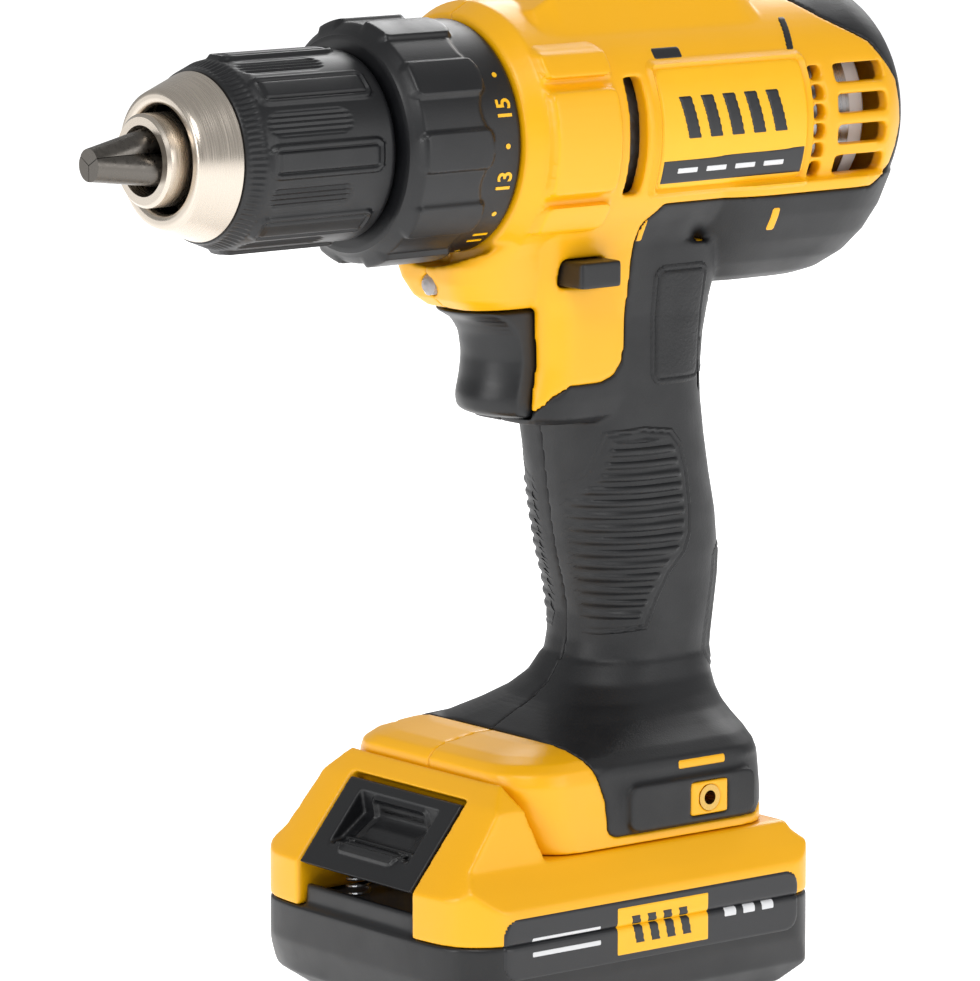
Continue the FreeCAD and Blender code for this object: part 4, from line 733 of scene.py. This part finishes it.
class DRILL_OT_bosses(bpy.types.Operator):
    """Lays the raised bosses on the gear housing"""
    bl_idname = "drill.bosses"
    bl_label = "Gear housing bosses"

    def execute(self, context):
        for side, facing in SIDES.items():
            wall = Wall([bpy.data.objects[f"{side}_shell"]], facing)
            made = []
            for number, (rise, half_z) in enumerate(((0.0, 12.0), (17.6, 3.6), (-17.6, 3.6))):
                outline = rounded_outline(8.5, AXIS_Z + rise, 9.8, half_z, 2.2)
                boss = patch(f"{side}_boss_{number}", wall, outline, step_mm=0.4,
                             height=plate_height(1.4, 0.7), sink=1.6)
                made.append(boss)
            bosses = joined(made, f"{side}_bosses")
            coat(bosses, "moulded_yellow_nylon")
            settle(bosses, "tool", "yellow_shell")
            self.slots(side, facing, wall)
        return {"FINISHED"}

    def slots(self, side, facing, wall):
        """Painted shade for the vent slots over the motor, flat black patches where their dark insides would
        be, and the yellow shell seen through the grip's slots.
        """
        high = rounded_outline(-19.8, AXIS_Z + 17.7, 4.0, 1.1, 0.4)
        rear = rounded_outline(-57.0, AXIS_Z + 19.8, 1.0, 3.4, 0.4, -0.35)
        # Flat black-ink patches stand for the vent slots and paint the shade inside them.
        made = [patch(f"{side}_vent_slot_{index}", wall, outline, 0.3, plate_height(0.2, 0.15), 0.4, 0.8)
                for index, outline in enumerate((high, rear))]
        slot_shades = joined(made, f"{side}_vent_slots")
        coat(slot_shades, "black_ink")
        settle(slot_shades, "tool", "black_plastic")
        skin = Wall([bpy.data.objects[f"{side}_overmould"]], facing)
        shapes = (rounded_outline(-23.0, 55.0, 6.8, 0.9, 0.4),
                  rounded_outline(-15.2, AXIS_Z - 22.3, 1.0, 2.6, 0.4),
                  rounded_outline(-50.5, AXIS_Z - 22.0, 1.0, 2.6, 0.4))
        made = [patch(f"{side}_grip_slot_{index}", skin, outline, 0.3, plate_height(0.2, 0.15), 0.4, 0.8)
                for index, outline in enumerate(shapes)]
        seen = joined(made, f"{side}_grip_slots")
        coat(seen, "moulded_yellow_nylon")
        settle(seen, "tool", "yellow_shell")


class DRILL_OT_chuck(bpy.types.Operator):
    """Makes the ribbed sleeve and the nickel nose"""
    bl_idname = "drill.chuck"
    bl_label = "Chuck"

    def execute(self, context):
        sleeve = drum("ribbed_sleeve", [
            (54.0, 18.0), (54.0, 20.3), (54.5, 20.9), (55.2, 21.2), (86.5, 21.2), (89.0, 20.8),
            (92.9, 19.3), (93.4, 19.0), (93.4, 17.4), (92.0, 17.4), (92.0, 18.0)],
            step_mm=0.55, segments=640, relief=self.ribs)
        coat(sleeve, "moulded_black_nylon")
        settle(sleeve, "sleeve", "black_plastic", "chuck_sleeve")
        nose = drum("nickel_nose", [
            (93.4, 17.0), (93.4, 18.4), (93.8, 18.65), (102.0, 15.5), (102.9, 15.1), (103.2, 14.6),
            (103.2, 12.9), (102.8, 12.3), (101.6, 11.9), (100.2, 12.9), (95.4, 15.3)],
            step_mm=0.5, segments=240)
        coat(nose, "satin_nickel")
        settle(nose, "sleeve", "nickel", "nose_cone")
        crisp("chuck_body", "output", "nickel", "satin_nickel")
        for index in (1, 2, 3):
            crisp(f"chuck_jaw_{index}", f"jaw_{index}", "dark_steel", "hardened_jaw_steel")
        return {"FINISHED"}

    def ribs(self, x, turn, radius):
        """Nested raised pads, finely grooved panels between them and a serrated ring in front."""
        pads = 8
        step = 2 * np.pi / pads
        outer = radius > 18.6
        wide = (turn / step - np.rint(turn / step)) * step * SLEEVE_RADIUS
        pad = box_distance(wide, x - 73.0, 4.1, 15.5, 2.6)
        rise = 0.85 * smoothstep(0.0, 0.7, -pad)
        rise -= 0.5 * np.exp(-((pad + 1.75) / 0.32) ** 2)
        between = ((turn / step - 0.5) - np.rint(turn / step - 0.5)) * step * SLEEVE_RADIUS
        panel = box_distance(between, x - 76.5, 3.1, 11.0, 2.9)
        groove_pitch = 1.25
        grooves = 0.5 - 0.5 * np.cos(between * 2 * np.pi / groove_pitch)
        rise -= smoothstep(0.0, 0.5, -panel) * (0.1 + 0.32 * grooves)
        serrated = smoothstep(89.3, 89.7, x) * smoothstep(92.6, 92.2, x)
        teeth = 90
        rise -= serrated * 0.3 * (0.5 + 0.5 * np.cos(turn * teeth))
        return np.where(outer, rise, 0.0)


class DRILL_OT_collar(bpy.types.Operator):
    """Makes the torque collar with its knobs, numbers and dots"""
    bl_idname = "drill.collar"
    bl_label = "Torque collar"

    def execute(self, context):
        collar = drum("torque_collar", [
            (23.3, 22.3), (23.3, 25.6), (23.6, 26.0), (24.1, 26.2), (31.0, 26.2), (50.4, 26.2),
            (52.2, 25.2), (53.0, 24.2), (53.2, 23.4), (53.2, 15.4), (52.9, 15.1), (50.7, 15.0),
            (50.7, 22.3)],
            step_mm=0.5, segments=640, relief=self.knobs)
        coat(collar, "moulded_black_nylon")
        settle(collar, "collar", "black_plastic", "clutch_collar")
        step = sizes().clutch_step
        marks = []
        for place, number in enumerate(range(1, 16, 2)):
            turn = sizes().first_number + (place - 6) * 2 * step
            marks.append(self.number(str(number), turn))
            marks.append(self.dot(turn + step))
        scale = joined(marks, "collar_scale")
        coat(scale, "yellow_ink")
        settle(scale, "collar", "black_plastic")
        return {"FINISHED"}

    def knobs(self, x, turn, radius):
        """Ten rounded knobs in front of a wavy step, and a smooth number ring behind it."""
        knobs = 10
        step = 2 * np.pi / knobs
        wide = (turn / step - np.rint(turn / step)) * step * COLLAR_RADIUS
        knob = box_distance(wide, x - 41.5, 4.9, 10.4, 2.6)
        wave = 1.3 * np.cos(turn * knobs)
        body = 0.9 * smoothstep(32.4 - wave, 33.4 - wave, x)
        rise = body * smoothstep(53.2, 50.0, x) + 1.0 * smoothstep(0.0, 1.1, -knob)
        return np.where((radius > 22.9) & (x < 53.0), rise - 0.35 * smoothstep(0, 1, body), 0.0)

    def wrap(self, piece, turn):
        """Bends flat lettering round the collar, with its tops towards the chuck."""
        points = points_of(piece) / MM
        angle = turn + points[:, 0] / COLLAR_RADIUS
        high = COLLAR_RADIUS + 0.04 + np.where(points[:, 2] > 0.001, 0.1, -0.15)
        across, up = high * np.cos(angle), AXIS_Z + high * np.sin(angle)
        set_points(piece, np.c_[NUMBER_RING_X + points[:, 1], across, up] * MM)

    def number(self, text, turn):
        clear_selection()
        bpy.ops.object.text_add(location=(0, 0, 0))
        label = bpy.context.object
        label.data.body = text
        label.data.size = 5.4 * MM
        label.data.extrude = 0.1 * MM
        label.data.offset = 0.1 * MM
        label.data.align_x = "CENTER"
        label.data.align_y = "CENTER"
        bpy.ops.object.convert(target="MESH")
        piece = bpy.context.object
        self.wrap(piece, turn)
        return piece

    def dot(self, turn):
        clear_selection()
        bpy.ops.mesh.primitive_cylinder_add(vertices=24, radius=0.62 * MM, depth=0.2 * MM)
        piece = bpy.context.object
        self.wrap(piece, turn)
        return piece


class DRILL_OT_controls(bpy.types.Operator):
    """Rounds the trigger, the direction bar and the speed selector"""
    bl_idname = "drill.controls"
    bl_label = "Controls"

    def execute(self, context):
        voxel = sizes().small_voxel
        for node, body, rounds in (("trigger", "trigger", 60), ("direction_bar", "direction", 30),
                                   ("speed_selector", "selector", 5)):
            piece = softened(node, f"{node}_moulding", voxel, rounds, SMALL_MOST)
            if node == "trigger":
                curve_front(piece, depth=5.0, reach=9.0, power=2)
                apply_modifier(piece, "SMOOTH", factor=0.5, iterations=12)
            coat(piece, "moulded_black_nylon")
            settle(piece, body, "black_plastic", node)
        crisp("lamp_lens", "tool", "lens", "clear_lens")
        crisp("motor_end_cap", "tool", "white_plastic", "moulded_white_nylon")
        crisp("hook_inserts", "tool", "brass", "turned_brass")
        return {"FINISHED"}


class DRILL_OT_battery(bpy.types.Operator):
    """Rounds the battery's cases and its latch"""
    bl_idname = "drill.battery"
    bl_label = "Battery pack"

    def execute(self, context):
        voxel = sizes().pack_voxel
        lower = softened("battery_lower_case", "pack_lower_case", voxel, 8)
        curve_front(lower, depth=6.0, reach=25.0, power=6)
        coat(lower, "moulded_black_nylon")
        settle(lower, "battery", "black_plastic", "battery_lower_case")
        upper = softened("battery_upper_case", "pack_upper_case", voxel, 8)
        curve_front(upper, depth=6.0, reach=25.0, power=6)
        coat(upper, "moulded_yellow_nylon")
        settle(upper, "battery", "yellow_shell", "battery_upper_case")
        latch = softened("battery_latch", "pack_latch", sizes().small_voxel, 3, SMALL_MOST)
        points = points_of(latch) / MM
        low, high = points[:, 2].min(), points[:, 2].max()
        outline = rounded_outline(0.0, (low + high) / 2 + 1.0, 11.0, (high - low) / 2 - 3.0, 2.5)
        face = patch("latch_face", Wall([latch], 0.0), outline, step_mm=0.35,
                     height=self.thumb_ribs, margin=0.5, sink=1.4)
        coat(face, "moulded_black_nylon")
        settle(face, "latch", "black_plastic")
        coat(latch, "moulded_black_nylon")
        settle(latch, "latch", "black_plastic", "battery_latch")
        return {"FINISHED"}

    def thumb_ribs(self, far, u, z):
        """A raised bead round the thumb rest and three level ribs across its lower half."""
        bead = 0.9 * np.exp(-((-far - 1.2) / 0.6) ** 2)
        middle = 0.5 * (z.min() + z.max())
        pitch = 2.6
        place = (z - middle + 1.2) / pitch
        ribs = 0.8 * np.exp(-(((place - np.rint(place)) * pitch) / 0.6) ** 2)
        return bead + ribs * (z < middle) * smoothstep(2.2, 3.0, -far)


class DRILL_OT_prints(bpy.types.Operator):
    """Lays the printed plates on the motor housing and on the pack"""
    bl_idname = "drill.prints"
    bl_label = "Printed plates"

    def execute(self, context):
        for side, facing in SIDES.items():
            shell = bpy.data.objects[f"{side}_shell"]
            self.nameplate(side, Wall([shell], facing))
            cases = [bpy.data.objects["pack_lower_case"], bpy.data.objects["pack_upper_case"]]
            self.pack_label(side, Wall(cases, facing))
        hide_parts("nameplates")
        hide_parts("battery_labels")
        return {"FINISHED"}

    def lay(self, name, wall, outline, thickness, material, body, slot):
        piece = patch(name, wall, outline, 0.4, plate_height(thickness, 0.3), 0.5, thickness + 0.3)
        coat(piece, material)
        settle(piece, body, slot)
        return piece

    def border(self, far, u, z):
        """A raised bead round the nameplate that falls away inside."""
        return 1.0 * np.exp(-((-far - 1.1) / 0.6) ** 2) - 0.3 * smoothstep(2.0, 2.6, -far)

    def nameplate(self, side, wall):
        """A yellow plate with a framed mark of slanted bars over a black band."""
        border = patch(f"{side}_plate_border", wall, rounded_outline(-35.5, 199.5, 23.6, 15.6, 2.6),
                       0.4, self.border, 0.5, 1.6)
        coat(border, "moulded_yellow_nylon")
        settle(border, "tool", "yellow_shell")
        self.lay(f"{side}_plate_field", wall, rounded_outline(-35.5, 199.5, 21.5, 13.5, 2.0), 0.35,
                 "yellow_ink", "tool", "nameplate")
        band = [(-56.5, 187.0), (-14.5, 187.0), (-14.5, 192.6), (-56.5, 193.4)]
        self.lay(f"{side}_plate_band", wall, band, 0.45, "black_ink", "tool", "nameplate")
        bars = []
        for index in range(5):
            middle = -49.0 + 6.4 * index
            foot, head = 197.0, 207.0
            bar = [(middle - 2.0, foot), (middle + 2.0, foot), (middle + 4.4, head), (middle + 0.4, head)]
            bars.append(patch(f"{side}_bar_{index}", wall, bar, 0.4, plate_height(0.48, 0.2), 0.4, 0.8))
        mark = joined(bars, f"{side}_plate_mark")
        coat(mark, "black_ink")
        settle(mark, "tool", "nameplate")
        dashes = []
        for index in range(4):
            middle = -22.0 - 8.5 * index
            outline = rounded_outline(middle, 190.0, 3.2, 0.8, 0.5)
            height = plate_height(0.58, 0.2)
            dashes.append(patch(f"{side}_dash_{index}", wall, outline, 0.4, height, 0.4, 0.8))
        line = joined(dashes, f"{side}_plate_dashes")
        coat(line, "white_ink")
        settle(line, "tool", "nameplate")

    def pack_label(self, side, wall):
        """A long black label with a yellow block, a level gauge and two printed bars."""
        middle_z = sizes().pack_label_height / MM
        self.lay(f"{side}_pack_label", wall, rounded_outline(-3.0, middle_z, 43.0, 6.9, 3.4), 0.3,
                 "black_ink", "battery", "battery_label")
        self.lay(f"{side}_pack_block", wall, rounded_outline(-5.5, middle_z, 13.5, 5.6, 0.4), 0.4,
                 "yellow_ink", "battery", "battery_label")
        bars = []
        for index in range(4):
            middle = -12.6 + 4.6 * index
            foot, head = middle_z - 3.4, middle_z + 3.4
            outline = [(middle - 1.4, foot), (middle + 1.4, foot), (middle + 2.8, head), (middle, head)]
            height = plate_height(0.52, 0.2)
            bars.append(patch(f"{side}_pack_bar_{index}", wall, outline, 0.35, height, 0.4, 0.8))
        mark = joined(bars, f"{side}_pack_mark")
        coat(mark, "black_ink")
        settle(mark, "battery", "battery_label")
        shapes = [rounded_outline(-25.5 - 5.6 * index, middle_z, 1.9, 1.1, 0.5) for index in range(3)]
        shapes += [rounded_outline(22.5, middle_z - 1.6 + 3.2 * index, 10.0, 0.7, 0.5) for index in range(2)]
        lines = [patch(f"{side}_pack_line_{index}", wall, shape, 0.35, plate_height(0.42, 0.2), 0.4, 0.8)
                 for index, shape in enumerate(shapes)]
        small_print = joined(lines, f"{side}_pack_print")
        coat(small_print, "white_ink")
        settle(small_print, "battery", "battery_label")


class DRILL_PT_panel(bpy.types.Panel):
    """Lists the drill's build steps"""
    bl_label = "Cordless Drill"
    bl_idname = "DRILL_PT_panel"
    bl_space_type = "VIEW_3D"
    bl_region_type = "UI"
    bl_category = "Drill"

    def draw(self, context):
        for step in STEPS:
            self.layout.operator(step.bl_idname)
        for group in (context.scene.drill_sizes, context.scene.drill_colours):
            for name in group.bl_rna.properties.keys():
                if name not in ("rna_type", "name"):
                    self.layout.prop(group, name)


STEPS = (DRILL_OT_stage, DRILL_OT_inner_finishes, DRILL_OT_housing, DRILL_OT_grip_texture,
         DRILL_OT_bosses, DRILL_OT_chuck, DRILL_OT_collar, DRILL_OT_controls, DRILL_OT_battery,
         DRILL_OT_prints)
CLASSES = (DrillSizes, DrillColours, *STEPS, DRILL_PT_panel)


def register():
    for kind in CLASSES:
        bpy.utils.register_class(kind)
    bpy.types.Scene.drill_sizes = bpy.props.PointerProperty(type=DrillSizes)
    bpy.types.Scene.drill_colours = bpy.props.PointerProperty(type=DrillColours)


def unregister():
    del bpy.types.Scene.drill_colours
    del bpy.types.Scene.drill_sizes
    for kind in reversed(CLASSES):
        bpy.utils.unregister_class(kind)


def main():
    register()
    bpy.ops.drill.stage()
    bpy.ops.drill.inner_finishes()
    bpy.ops.drill.housing()
    bpy.ops.drill.grip_texture()
    bpy.ops.drill.bosses()
    bpy.ops.drill.chuck()
    bpy.ops.drill.collar()
    bpy.ops.drill.controls()
    bpy.ops.drill.battery()
    bpy.ops.drill.prints()


if __name__ == "__main__":
    main()
